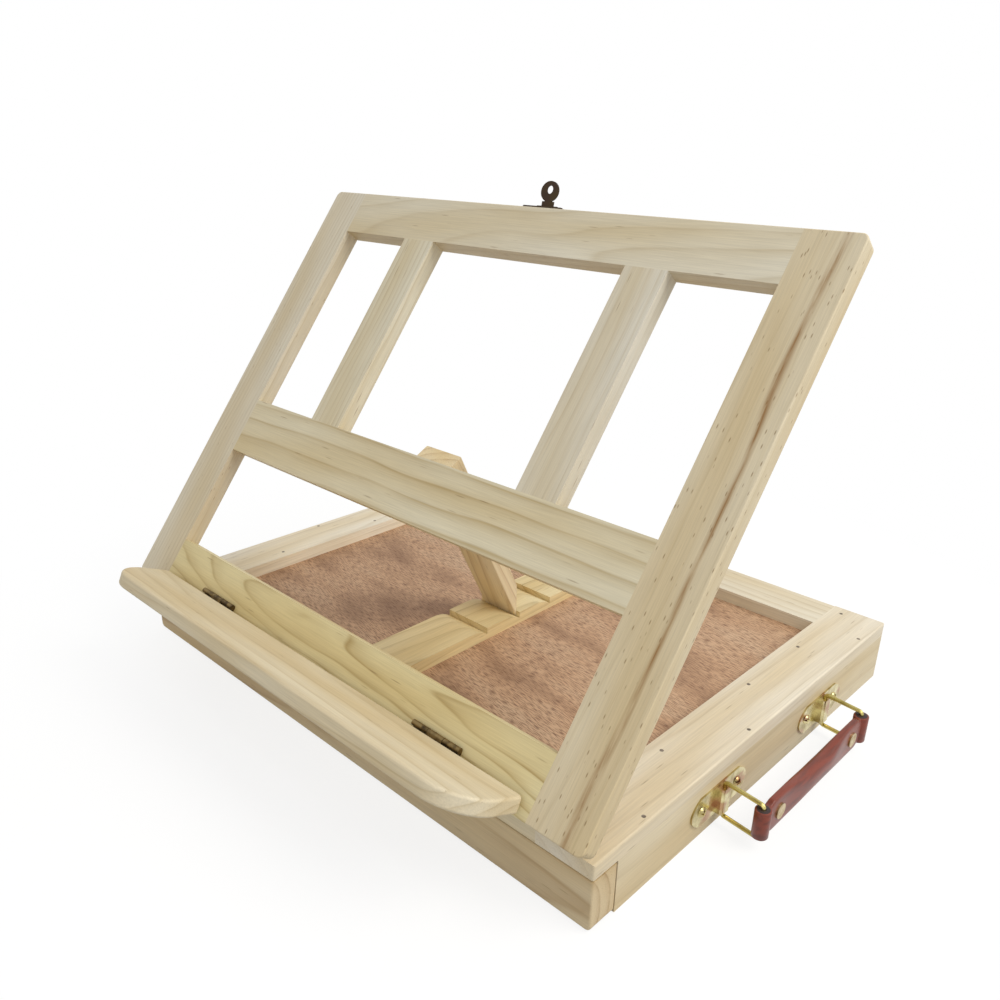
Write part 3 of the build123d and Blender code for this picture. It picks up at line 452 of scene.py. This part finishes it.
def plated_metal(name, bright, dark, roughness, blotch, tint=None):
    """Pressed or drawn steel, plated in a bath.

    The eye sees smooth metal whose tones drift into each other in blotches of this size in mm. On
    the bails and the bright handle plates these drifts are partly the plating's own tone and partly
    painted reflection, standing in for highlights and shade that the white studio does not give. It
    is a little duller where it is darker, and pinkish where the plating is thin.
    """
    made, tree = new_material(name)
    place = board_place(tree, ALONG_X, ALONG_Z, (0, 0, 0))
    drift = drifts(tree, place, (blotch, blotch, blotch), detail=3.0)["Fac"]
    base = node(tree, "ShaderNodeValToRGB", {"Fac": drift}, ((0.36, dark), (0.60, bright))).outputs["Color"]
    if tint is not None:
        thin = node(
            tree,
            "ShaderNodeValToRGB",
            {"Fac": drifts(tree, place, (2 * blotch, 2 * blotch, blotch))["Fac"]},
            ((0.52, grey(0.0)), (0.64, grey(0.7))),
        )
        base = layered(tree, base, [("MIX", thin.outputs["Color"], tint)])
    ripple = drifts(tree, place, (STEEL_RIPPLE, STEEL_RIPPLE, STEEL_RIPPLE))["Fac"]
    rough = node(
        tree, "ShaderNodeMapRange", {"Value": drift, "To Min": roughness + 0.12, "To Max": roughness - 0.06}
    )
    shader_inputs = {"Base Color": base, "Metallic": 1.0, "Roughness": rough.outputs["Result"]}
    return finish(made, tree, shader_inputs, ripple, bump_mm=0.01)


# The grip's drifts along its length and the pebbles of its skin, in mm
SKIN_DRIFT = (24, 3, 3)
SKIN_PEBBLE = (0.7, 0.7, 0.7)


def moulded_grip(name, skin, dark):
    """Soft vinyl, moulded.

    The eye sees a glossy red-brown with darker drifts along it, and a fine pebbled skin that
    breaks its highlights.
    """
    made, tree = new_material(name)
    place = board_place(tree, ALONG_Y, ALONG_X, (0, 0, 0))
    drift = drifts(tree, place, SKIN_DRIFT, detail=3.0)["Fac"]
    base = node(tree, "ShaderNodeValToRGB", {"Fac": drift}, ((0.36, dark), (0.58, skin))).outputs["Color"]
    pebble = drifts(tree, place, SKIN_PEBBLE)["Fac"]
    return finish(made, tree, {"Base Color": base, "Roughness": 0.34, "IOR": 1.5}, pebble, bump_mm=0.02)


def moulded_tube(name, tone):
    """Hard plastic, moulded: one even dark tone, half glossy."""
    made, tree = new_material(name)
    return finish(made, tree, {"Base Color": tone, "Roughness": 0.5, "IOR": 1.5})


def grid_mesh(name, points, wrap_u=False, wrap_v=False, cap_u=False):
    """A mesh over a grid of points (rows, columns, 3), closed round where it wraps and capped at its ends."""
    rows, columns = points.shape[:2]
    index = np.arange(rows * columns).reshape(rows, columns)
    down = np.roll(index, -1, 0) if wrap_u else index[1:]
    here = index if wrap_u else index[:-1]
    if wrap_v:
        quads = np.stack((here, np.roll(here, -1, 1), np.roll(down, -1, 1), down), -1)
    else:
        quads = np.stack((here[:, :-1], here[:, 1:], down[:, 1:], down[:, :-1]), -1)
    faces = quads.reshape(-1, 4).tolist()
    if cap_u:
        faces += [index[0, ::-1].tolist(), index[-1].tolist()]
    mesh = bpy.data.meshes.new(name)
    mesh.from_pydata(points.reshape(-1, 3).tolist(), [], faces)
    return mesh


# Points closer than this are merged, and edges sharper than this stay sharp
MERGE_DISTANCE = 0.001 * MM
SHARP_EDGE = radians(40)


def add_piece(name, meshes, made, body, stands_for=()):
    """Joins these meshes in one smooth object with its material, on its body."""
    working = bmesh.new()
    for mesh in meshes:
        working.from_mesh(mesh)
        bpy.data.meshes.remove(mesh)
    bmesh.ops.remove_doubles(working, verts=working.verts, dist=MERGE_DISTANCE)
    bmesh.ops.recalc_face_normals(working, faces=working.faces)
    joined = bpy.data.meshes.new(name)
    working.to_mesh(joined)
    working.free()
    joined.polygons.foreach_set("use_smooth", np.ones(len(joined.polygons), dtype=bool))
    joined.set_sharp_from_angle(angle=SHARP_EDGE)
    joined.materials.append(made)
    piece = bpy.data.objects.new(name, joined)
    bpy.context.scene.collection.objects.link(piece)
    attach(piece, body)
    if stands_for:
        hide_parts(*stands_for)


def corners(name):
    """The corners of a CAD node's triangles, as rows of x, y and z."""
    mesh = frame["nodes"][name].data
    found = np.empty(3 * len(mesh.vertices))
    mesh.vertices.foreach_get("co", found)
    placed = np.array(frame["nodes"][name].matrix_world)
    return found.reshape(-1, 3) @ placed[:3, :3].T + placed[:3, 3]


# Screws of one node that stand further apart than this are separate screws
SCREW_GAP = 1 * MM
# Rings and sides of a head's grid
HEAD_RINGS = 40
HEAD_SIDES = 120
# How full the dome is, and the width of the recess's sloping sides and ends in head radii
DOME_POWER = 2.6
SIDE_SLOPE = 0.06
END_SLOPE = 0.10
# The rim goes under the seat by this many recess depths, and by at least this much
RIM_DEPTHS = 1.2
LEAST_RIM = 0.1 * MM


def all_round(count):
    """This many angles, once all the way round."""
    return np.linspace(0, 2 * np.pi, count, endpoint=False)


def screw_heads(name, out, along):
    """The middle, top and radius of each head in a node of like screws that stand in a row along an axis."""
    points = corners(name)
    order = points[np.argsort(points @ along)]
    gaps = np.flatnonzero(np.diff(order @ along) > SCREW_GAP) + 1
    across = np.cross(out, along)
    heads = []
    for screw in np.split(order, gaps):
        first, last = (screw @ along).min(), (screw @ along).max()
        left, right = (screw @ across).min(), (screw @ across).max()
        centre = along * (first + last) / 2 + across * (left + right) / 2
        heads.append((centre, (screw @ out).max(), (last - first) / 2))
    if len(heads) < 2:
        raise RuntimeError(f"{name} shows fewer than two screws")
    return heads


def screw_head(name, centre, base, radius, out, along, dome, turn):
    """A round head with a cross recess.

    Polar grid: the height over the seat is dome * (1 - r^2.6), less the recess depth where the
    point lies in either arm of the cross, with sloping sides. The last rows go down the rim and
    under the head to its middle.
    """
    look = bpy.context.scene.easel_screws
    r, a = np.meshgrid(np.linspace(0, 1, HEAD_RINGS), all_round(HEAD_SIDES), indexing="ij")
    x, y = r * np.cos(a + turn), r * np.sin(a + turn)
    narrow, wide = np.minimum(abs(x), abs(y)), np.maximum(abs(x), abs(y))
    side = np.clip((look.recess_width / 2 - narrow) / SIDE_SLOPE + 0.5, 0, 1)
    end = np.clip((look.recess_length - wide) / END_SLOPE + 0.5, 0, 1)
    recess = look.recess_depth * radius
    height = dome * (1 - r**DOME_POWER) - side * end * recess
    floor = min(-recess * RIM_DEPTHS, -LEAST_RIM)
    r = np.vstack((r, np.ones((1, HEAD_SIDES)), np.zeros((1, HEAD_SIDES))))
    a = np.vstack((a, a[:2]))
    height = np.vstack((height, np.full((2, HEAD_SIDES), floor)))
    across = np.cross(out, along)
    spot = (
        centre
        + out * (base + height)[..., None]
        + along * (radius * r * np.cos(a))[..., None]
        + across * (radius * r * np.sin(a))[..., None]
    )
    return grid_mesh(name, spot, wrap_v=True)


def dress(names, made):
    """Puts one material in every slot of these CAD nodes."""
    for name in names:
        slots = frame["nodes"][name].material_slots
        if not slots:
            raise RuntimeError(f"{name} has no slot for a material")
        for slot in slots:
            slot.material = made


def middle(name):
    """The middle of a CAD node's box."""
    low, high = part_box(name)
    return (low + high) / 2


# Each board's grain: its ring width, the pith's place across and behind the face, the pith's lean
# (pitch and yaw), how far the rings wobble, the strength of the late wood, and the length and width
# of a resin canal's cell, the canal's radius in cells and its tone. Lengths are in mm, angles in degrees.
PLAIN = dict(
    ring=5.5,
    pith=(44, 40),
    pitch=1.0,
    yaw=0.6,
    wobble=8.0,
    contrast=0.4,
    cell=(40, 3.0),
    canals=0.11,
    canal_tone=0.5,
)
# Each board's run, its face and what is its own in its grain. early and late are its tones of the
# wood, with painted light in them where a note says so, and streak is the heart streak's place across
# the board and its half width.
BOARDS = {
    "top_rail": (ALONG_X, OUT_OF_FRAME, dict(pith=(16, 48), pitch=3.0, contrast=0.35, early="#E2DAC4")),
    "middle_rail": (
        ALONG_X,
        OUT_OF_FRAME,
        dict(pith=(46, 34), ring=9.0, contrast=0.8, canals=0.13, early="#E3D9BC"),
    ),
    "bottom_rail": (
        ALONG_X,
        OUT_OF_FRAME,
        dict(pith=(-20, 18), pitch=2.4, ring=3.6, wobble=13.0, contrast=0.9, canals=0.13, early="#E4D7A8"),
    ),
    "left_stile": (
        UP_FRAME,
        OUT_OF_FRAME,
        dict(pith=(60, 20), ring=3.2, contrast=0.4, cell=(14, 2.6), canals=0.13, early="#E0D7C2"),
    ),
    "right_stile": (
        UP_FRAME,
        OUT_OF_FRAME,
        dict(
            pith=(-50, 30),
            ring=6.0,
            wobble=15.0,
            contrast=0.22,
            cell=(10, 2.4),
            canals=0.17,
            canal_tone=0.7,
            streak=(0.5, 2.6),
            early="#DED1B4",
        ),
    ),
    "left_muntin": (
        UP_FRAME,
        OUT_OF_FRAME,
        dict(pith=(50, 24), ring=3.6, contrast=0.45, canals=0.13, early="#E3DCC6"),
    ),
    "right_muntin": (UP_FRAME, OUT_OF_FRAME, dict(pith=(60, 30), contrast=0.3, early="#E2DCCC")),
    "ledge_shelf": (
        ALONG_X,
        -INTO_LEDGE,
        dict(pith=(-30, 46), ring=6.0, contrast=0.5, canals=0.08, early="#E2D6BA"),
    ),
    # Painted light, partly: the prop's orange late tone paints the warm light that the ply bounces into its
    # shaded front
    "prop_leg": (
        DOWN_PROP,
        OUT_OF_PROP,
        dict(pith=(14, 26), pitch=3.0, contrast=0.6, early="#F0E0BC", late="#A87C40"),
    ),
    "ratchet_board": (ALONG_Y, ALONG_Z, dict(pith=(14, -40), pitch=3.0, contrast=0.6, early="#EDDBAC")),
    "left_side_wall": (ALONG_Y, -ALONG_X, dict()),
    "right_side_wall": (ALONG_Y, ALONG_X, dict(pith=(-40, 40), ring=9.0, contrast=0.32, early="#E4D7BA")),
    "back_wall": (ALONG_X, ALONG_Y, dict(pith=(8, 40), pitch=2.0, contrast=0.5)),
    # Painted light: this rail's early tone is raised above the wood's own, to light a rail that the frame
    # shades from the key lamp
    "left_top_rail": (ALONG_Y, ALONG_Z, dict(pith=(20, 40), pitch=2.0, contrast=0.35, early="#FAF2E0")),
    # Painted light: this rail's early tone is likewise raised above the wood's own, to stand in for light
    "right_top_rail": (ALONG_Y, ALONG_Z, dict(pith=(-44, 40), ring=8.0, contrast=0.3, early="#EBE2CF")),
    "front_top_rail": (ALONG_X, ALONG_Z, dict(pith=(20, 40), contrast=0.45)),
    "back_top_rail": (ALONG_X, ALONG_Z, dict(contrast=0.4, early="#E8DFCA")),
    "drawer_front": (
        ALONG_X,
        -ALONG_Y,
        dict(pith=(1, -40), pitch=2.0, contrast=0.8, ring=7.0, early="#DAC6A0", late="#A5824E"),
    ),
    "drawer_left_side": (ALONG_Y, ALONG_X, dict(pith=(4, 30), pitch=2.0)),
    "drawer_right_side": (ALONG_Y, ALONG_X, dict(pith=(-4, 30), pitch=2.0)),
    "drawer_back": (ALONG_X, ALONG_Y, dict()),
    "drawer_long_divider": (ALONG_X, ALONG_Y, dict()),
    "drawer_cross_dividers": (ALONG_Y, ALONG_X, dict()),
}


class EASEL_OT_finish_boards(bpy.types.Operator):
    """Gives every pine board its own cut of planed pine, with the grain along the board"""

    bl_idname = "easel.finish_boards"
    bl_label = "Finish the pine boards"

    def execute(self, context):
        for name, (along, face, look) in BOARDS.items():
            dress([name], planed_pine(f"planed_pine_{name}", along, face, middle(name), {**PLAIN, **look}))
        return {"FINISHED"}


class EASEL_OT_finish_ply(bpy.types.Operator):
    """Gives the thin panels their peeled hardwood ply"""

    bl_idname = "easel.finish_ply"
    bl_label = "Finish the ply panels"

    def execute(self, context):
        for name in ("top_panel", "bottom_panel", "drawer_bottom"):
            dress([name], rotary_ply(f"rotary_ply_{name}", middle(name)))
        return {"FINISHED"}


class EASEL_OT_finish_metal(bpy.types.Operator):
    """Gives the hinges, hasp, nails and handle metal their plating"""

    bl_idname = "easel.finish_metal"
    bl_label = "Finish the metal"

    def execute(self, context):
        metal = context.scene.easel_metal
        hinges = [name for name in frame["nodes"] if "hinge" in name]
        dress(hinges, plated_metal("antique_brass_plating", metal.antique, metal.antique_worn, 0.42, 5.0))
        hasp = ["hasp_plate", "hasp_pin", "hasp_lever", "hasp_catch"]
        dress(hasp, plated_metal("dark_bronze_plating", metal.bronze, metal.antique_worn, 0.45, 6.0))
        nails = ["top_nails", "hasp_nails", "hasp_catch_nails"]
        dress(nails, plated_metal("punched_steel_nails", metal.nail, metal.nail_dark, 0.5, 2.0))
        # The wire's drifts are partly painted reflection
        wire = plated_metal("drawn_brass_wire", metal.wire, metal.wire_dark_and_painted_reflection, 0.24, 14.0)
        dress(["handle_front_bail", "handle_rear_bail"], wire)
        # The plates' and screws' drifts are partly painted reflection
        tones = (metal.bright, metal.bright_dark_and_painted_reflection)
        brass = plated_metal("bright_brass_plating", *tones, 0.2, 9.0, metal.bright_tint)
        dress(["handle_plates", "handle_screws"], brass)
        dress(["grip_rivets"], plated_metal("brass_rivets", metal.rivet, metal.rivet_dark, 0.3, 5.0))
        return {"FINISHED"}


# How far the CAD's domed heads stand out of the handle's plates, and the rise of a hinge screw's flat head
DOMED_HEAD = 2.0 * MM
FLAT_HEAD = 0.02 * MM
# The recess of the first screw in a row is turned this far, in radians, and each next one further
FIRST_TURN = 0.5
NEXT_TURN = 0.9


class EASEL_OT_cut_screw_heads(bpy.types.Operator):
    """Gives every screw a head with a cross recess: domed on the handle, flat on the hinges"""

    bl_idname = "easel.cut_screw_heads"
    bl_label = "Cut the screw heads"

    def execute(self, context):
        dome = context.scene.easel_screws.dome_height
        self.cut("handle_screws", ALONG_X, ALONG_Y, "box", "yellow_zinc", dome, DOMED_HEAD)
        hinges = {
            "frame_hinge_box_screws": (ALONG_Z, "box"),
            "frame_hinge_frame_screws": (-OUT_OF_FRAME, "easel_frame"),
            "ledge_hinge_frame_screws": (OUT_OF_FRAME, "easel_frame"),
            "ledge_hinge_ledge_screws": (-INTO_LEDGE, "ledge"),
            "prop_hinge_rail_screws": (-OUT_OF_FRAME, "easel_frame"),
            "prop_hinge_leg_screws": (-OUT_OF_PROP, "prop"),
        }
        for name, (out, body) in hinges.items():
            self.cut(name, out, ALONG_X, body, "antique_brass", FLAT_HEAD, 0)
        return {"FINISHED"}

    def cut(self, name, out, along, body, slot, height, seat_depth):
        """Cuts the heads of one node of screws, whose seats lie this deep under the CAD heads' tops."""
        out, along = np.array(out), np.array(along)
        made = frame["nodes"][name].material_slots[0].material
        meshes = []
        for count, (centre, top, radius) in enumerate(screw_heads(name, out, along)):
            turn = FIRST_TURN + NEXT_TURN * count
            meshes.append(screw_head(name, centre, top - seat_depth, radius, out, along, height, turn))
        add_piece(f"{name}_heads", meshes, made, body, [name])


# Places along the grip: it is round up to the first and flat from the second, both from its middle
WAIST_END = 8 * MM
FLAT_START = 40 * MM
# From a barrel's axis: where the flat end begins to narrow, over what length, and where the strap ends
NARROWING_START = 9 * MM
NARROWING_LENGTH = 4 * MM
STRAP_END = 1.8 * MM
# The sections' superellipse powers at the waist and at the flat ends
WAIST_POWER = 2.6
FLAT_POWER = 5.2
# Rings and sides of the strap's grid, and sides of a barrel
STRAP_RINGS = 140
STRAP_SIDES = 72
BARREL_SIDES = 64
# How far a barrel's rims are eased and the share of it at the ease's own middle point, the skin over
# the tube, and how much longer the tube is
RIM_EASE = 0.5 * MM
RIM_MIDDLE = 0.3
TUBE_SKIN = 0.8 * MM
TUBE_PROUD = 0.5 * MM


def eased(x):
    """A smooth step: 3 x^2 - 2 x^3, with x held between 0 and 1."""
    x = np.clip(x, 0, 1)
    return x * x * (3 - 2 * x)


class EASEL_OT_finish_grip(bpy.types.Operator):
    """Gives the handle a moulded grip with a barrel round each wire, and dark tubes in the barrels"""

    bl_idname = "easel.finish_grip"
    bl_label = "Finish the grip"

    def execute(self, context):
        look = context.scene.easel_grip
        skin = moulded_grip("moulded_grip", look.skin, look.skin_dark)
        dress(["handle_grip"], skin)
        low, high = (np.array(corner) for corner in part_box("handle_grip"))
        centre = (low + high) / 2
        reach = (high[1] - low[1]) / 2 - look.barrel_radius
        meshes = [self.strap(look, centre, reach)]
        tubes = []
        for place in (-reach, reach):
            meshes.append(self.barrel(look, centre, place, look.barrel_radius, look.end_height))
            tubes.append(
                self.barrel(look, centre, place, look.barrel_radius - TUBE_SKIN, look.end_height + TUBE_PROUD)
            )
        add_piece("grip_body", meshes, skin, "grip", ["handle_grip"])
        add_piece("grip_tubes", tubes, moulded_tube("dark_tube", look.tube), "grip")
        return {"FINISHED"}

    def strap(self, look, centre, reach):
        """The strap between the barrels, as rings of a superellipse along the grip.

        Its half height and half thickness go from the waist to the flat ends in a smooth step, the
        height drops to the barrels' at the very ends, and the sections go from round to squarish.
        """
        ends = reach - STRAP_END
        rings = np.linspace(-ends, ends, STRAP_RINGS)
        along, angle = np.meshgrid(rings, all_round(STRAP_SIDES), indexing="ij")
        flat = eased((abs(along) - WAIST_END) / (FLAT_START - WAIST_END))
        end = eased((abs(along) - reach + NARROWING_START) / NARROWING_LENGTH)
        high = look.waist_height + flat * (look.strap_height - look.waist_height)
        high = (high - end * (look.strap_height - look.end_height)) / 2
        thick = (look.waist_thickness + flat * (look.strap_thickness - look.waist_thickness)) / 2
        power_of_ring = 2 / (WAIST_POWER + (FLAT_POWER - WAIST_POWER) * flat)
        out = np.sign(np.cos(angle)) * abs(np.cos(angle)) ** power_of_ring * thick
        up = np.sign(np.sin(angle)) * abs(np.sin(angle)) ** power_of_ring * high
        return grid_mesh("strap", centre + np.stack((out, along, up), -1), wrap_v=True, cap_u=True)

    def barrel(self, look, centre, place, outer, height):
        """A tube round the wire: a closed profile with eased rims, turned round an upright axis."""
        bore = look.bore_radius
        half = height / 2
        soft = RIM_MIDDLE * RIM_EASE
        rim = (outer - RIM_EASE, outer - soft, outer)
        radii = np.array([bore, *rim, *rim[::-1], bore])
        rise = (half - RIM_EASE, half - soft, half, half)
        ups = np.array([*(-up for up in rise[::-1]), *rise])
        angle = all_round(BARREL_SIDES)
        ring = np.stack(
            (
                np.outer(radii, np.cos(angle)),
                place + np.outer(radii, np.sin(angle)),
                np.outer(ups, np.ones(BARREL_SIDES)),
            ),
            -1,
        )
        return grid_mesh("barrel", centre + ring, wrap_u=True, wrap_v=True)


# Where the lamps look, each lamp's place and width, and the floor's width, in metres
LAMP_AIM = (0.0, 0.0, 0.1)
KEY_PLACE = (1.1, 0.35, 1.25)
KEY_WIDTH = 0.9
FILL_PLACE = (0.8, -1.4, 0.7)
FILL_WIDTH = 1.0
FLOOR_WIDTH = 12
# What the floor gives back to the object, and what brings its lit part up to full white
FLOOR_BOUNCE = 0.4
FLOOR_GAIN = 1.15
# The camera's sensor in mm
SENSOR_WIDTH = 36


def area_lamp(name, place, size, watts, tint):
    """A square soft lamp that looks at the object."""
    lamp = bpy.data.lights.new(name, "AREA")
    lamp.shape = "SQUARE"
    lamp.size = size
    lamp.energy = watts
    lamp.color = linear(tint)[:3]
    made = bpy.data.objects.new(name, lamp)
    made.location = place
    made.rotation_euler = (Vector(LAMP_AIM) - Vector(place)).to_track_quat("-Z", "Y").to_euler()
    bpy.context.scene.collection.objects.link(made)
    return made


def seen_or(tree, bounced, seen):
    """Camera, glossy and transmission rays meet the seen shader, and the rest meet the bounced one."""
    path = node(tree, "ShaderNodeLightPath")
    direct = path.outputs["Is Camera Ray"]
    for ray in ("Is Glossy Ray", "Is Transmission Ray"):
        either = node(tree, "ShaderNodeMath", {0: direct, 1: path.outputs[ray]}, operation="MAXIMUM")
        direct = either.outputs["Value"]
    return node(tree, "ShaderNodeMixShader", {0: direct, 1: bounced, 2: seen}).outputs["Shader"]


def white_floor(studio):
    """White paper, matt: plain white to the eye, with a faint shadow close to the object.

    Near the object it glows with the share of white that shadows leave, and the lamps light the
    rest. From shadow_start to shadow_end this goes over into plain white.
    """
    made, tree = new_material("white_floor")
    bounce = node(tree, "ShaderNodeBsdfDiffuse", {"Color": grey(FLOOR_BOUNCE)})
    glow = node(tree, "ShaderNodeEmission", {"Color": grey(1.0), "Strength": studio.floor_white})
    shade = node(tree, "ShaderNodeBsdfDiffuse", {"Color": grey(FLOOR_GAIN * (1 - studio.floor_white))})
    near = node(tree, "ShaderNodeAddShader", {0: glow.outputs["Emission"], 1: shade.outputs["BSDF"]})
    place = node(tree, "ShaderNodeTexCoord").outputs["Object"]
    away = node(tree, "ShaderNodeVectorMath", {0: place}, operation="LENGTH")
    fade = node(
        tree,
        "ShaderNodeMapRange",
        {"Value": away.outputs["Value"], "From Min": studio.shadow_start, "From Max": studio.shadow_end},
    )
    white = node(tree, "ShaderNodeEmission", {"Color": grey(1.0), "Strength": 1.0})
    seen = node(
        tree,
        "ShaderNodeMixShader",
        {0: fade.outputs["Result"], 1: near.outputs["Shader"], 2: white.outputs["Emission"]},
    )
    surface = seen_or(tree, bounce.outputs["BSDF"], seen.outputs["Shader"])
    node(tree, "ShaderNodeOutputMaterial", {"Surface": surface})
    return made


def white_sky(studio):
    """Plain white to the eye, and even light of the sky's strength on the object."""
    world = bpy.data.worlds.new("studio_sky")
    world.use_nodes = True
    tree = world.node_tree
    tree.nodes.clear()
    light = node(tree, "ShaderNodeBackground", {"Color": grey(1.0), "Strength": studio.sky})
    white = node(tree, "ShaderNodeBackground", {"Color": grey(1.0), "Strength": 1.0})
    surface = seen_or(tree, light.outputs["Background"], white.outputs["Background"])
    node(tree, "ShaderNodeOutputWorld", {"Surface": surface})
    return world


class EASEL_OT_set_studio(bpy.types.Operator):
    """Sets up the camera of the photograph, the lamps, the white floor and the sky"""

    bl_idname = "easel.set_studio"
    bl_label = "Set up the studio"

    def execute(self, context):
        studio = context.scene.easel_studio
        scene = context.scene

        camera = bpy.data.cameras.new("studio_camera")
        camera.sensor_width = SENSOR_WIDTH
        camera.lens = studio.lens
        camera.shift_x, camera.shift_y = studio.shift
        camera.clip_start = 10 * MM
        eye = bpy.data.objects.new("studio_camera", camera)
        eye.location = studio.camera_place
        eye.rotation_euler = studio.camera_turn
        scene.collection.objects.link(eye)
        scene.camera = eye

        bpy.ops.mesh.primitive_plane_add(size=FLOOR_WIDTH, location=(0, 0, 0))
        floor = context.object
        floor.name = "studio_floor"
        floor.data.materials.append(white_floor(studio))
        scene.world = white_sky(studio)

        key = area_lamp("key_lamp", KEY_PLACE, KEY_WIDTH, studio.key_power, "#FFFAF0")
        fill = area_lamp("fill_lamp", FILL_PLACE, FILL_WIDTH, studio.fill_power, "#FFFFFF")

        scene.view_settings.view_transform = "Standard"
        return {"FINISHED"}


class EASEL_PT_steps(bpy.types.Panel):
    """Lists the steps that make the easel"""

    bl_label = "Table box easel"
    bl_space_type = "VIEW_3D"
    bl_region_type = "UI"
    bl_category = "Easel"

    def draw(self, context):
        for step in STEPS:
            self.layout.operator(step.bl_idname)


STEPS = (
    EASEL_OT_finish_boards,
    EASEL_OT_finish_ply,
    EASEL_OT_finish_metal,
    EASEL_OT_cut_screw_heads,
    EASEL_OT_finish_grip,
    EASEL_OT_set_studio,
)
GROUPS = {
    "easel_wood": EaselWood,
    "easel_metal": EaselMetal,
    "easel_grip": EaselGrip,
    "easel_screws": EaselScrews,
    "easel_studio": EaselStudio,
}
CLASSES = (*GROUPS.values(), *STEPS, EASEL_PT_steps)


def register():
    for cls in CLASSES:
        bpy.utils.register_class(cls)
    for name, group in GROUPS.items():
        setattr(bpy.types.Scene, name, bpy.props.PointerProperty(type=group))


def unregister():
    for name in GROUPS:
        delattr(bpy.types.Scene, name)
    for cls in reversed(CLASSES):
        bpy.utils.unregister_class(cls)


def main():
    """Registers the add-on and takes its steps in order."""
    register()
    for step in STEPS:
        group, name = step.bl_idname.split(".")
        getattr(getattr(bpy.ops, group), name)()


if __name__ == "__main__":
    main()
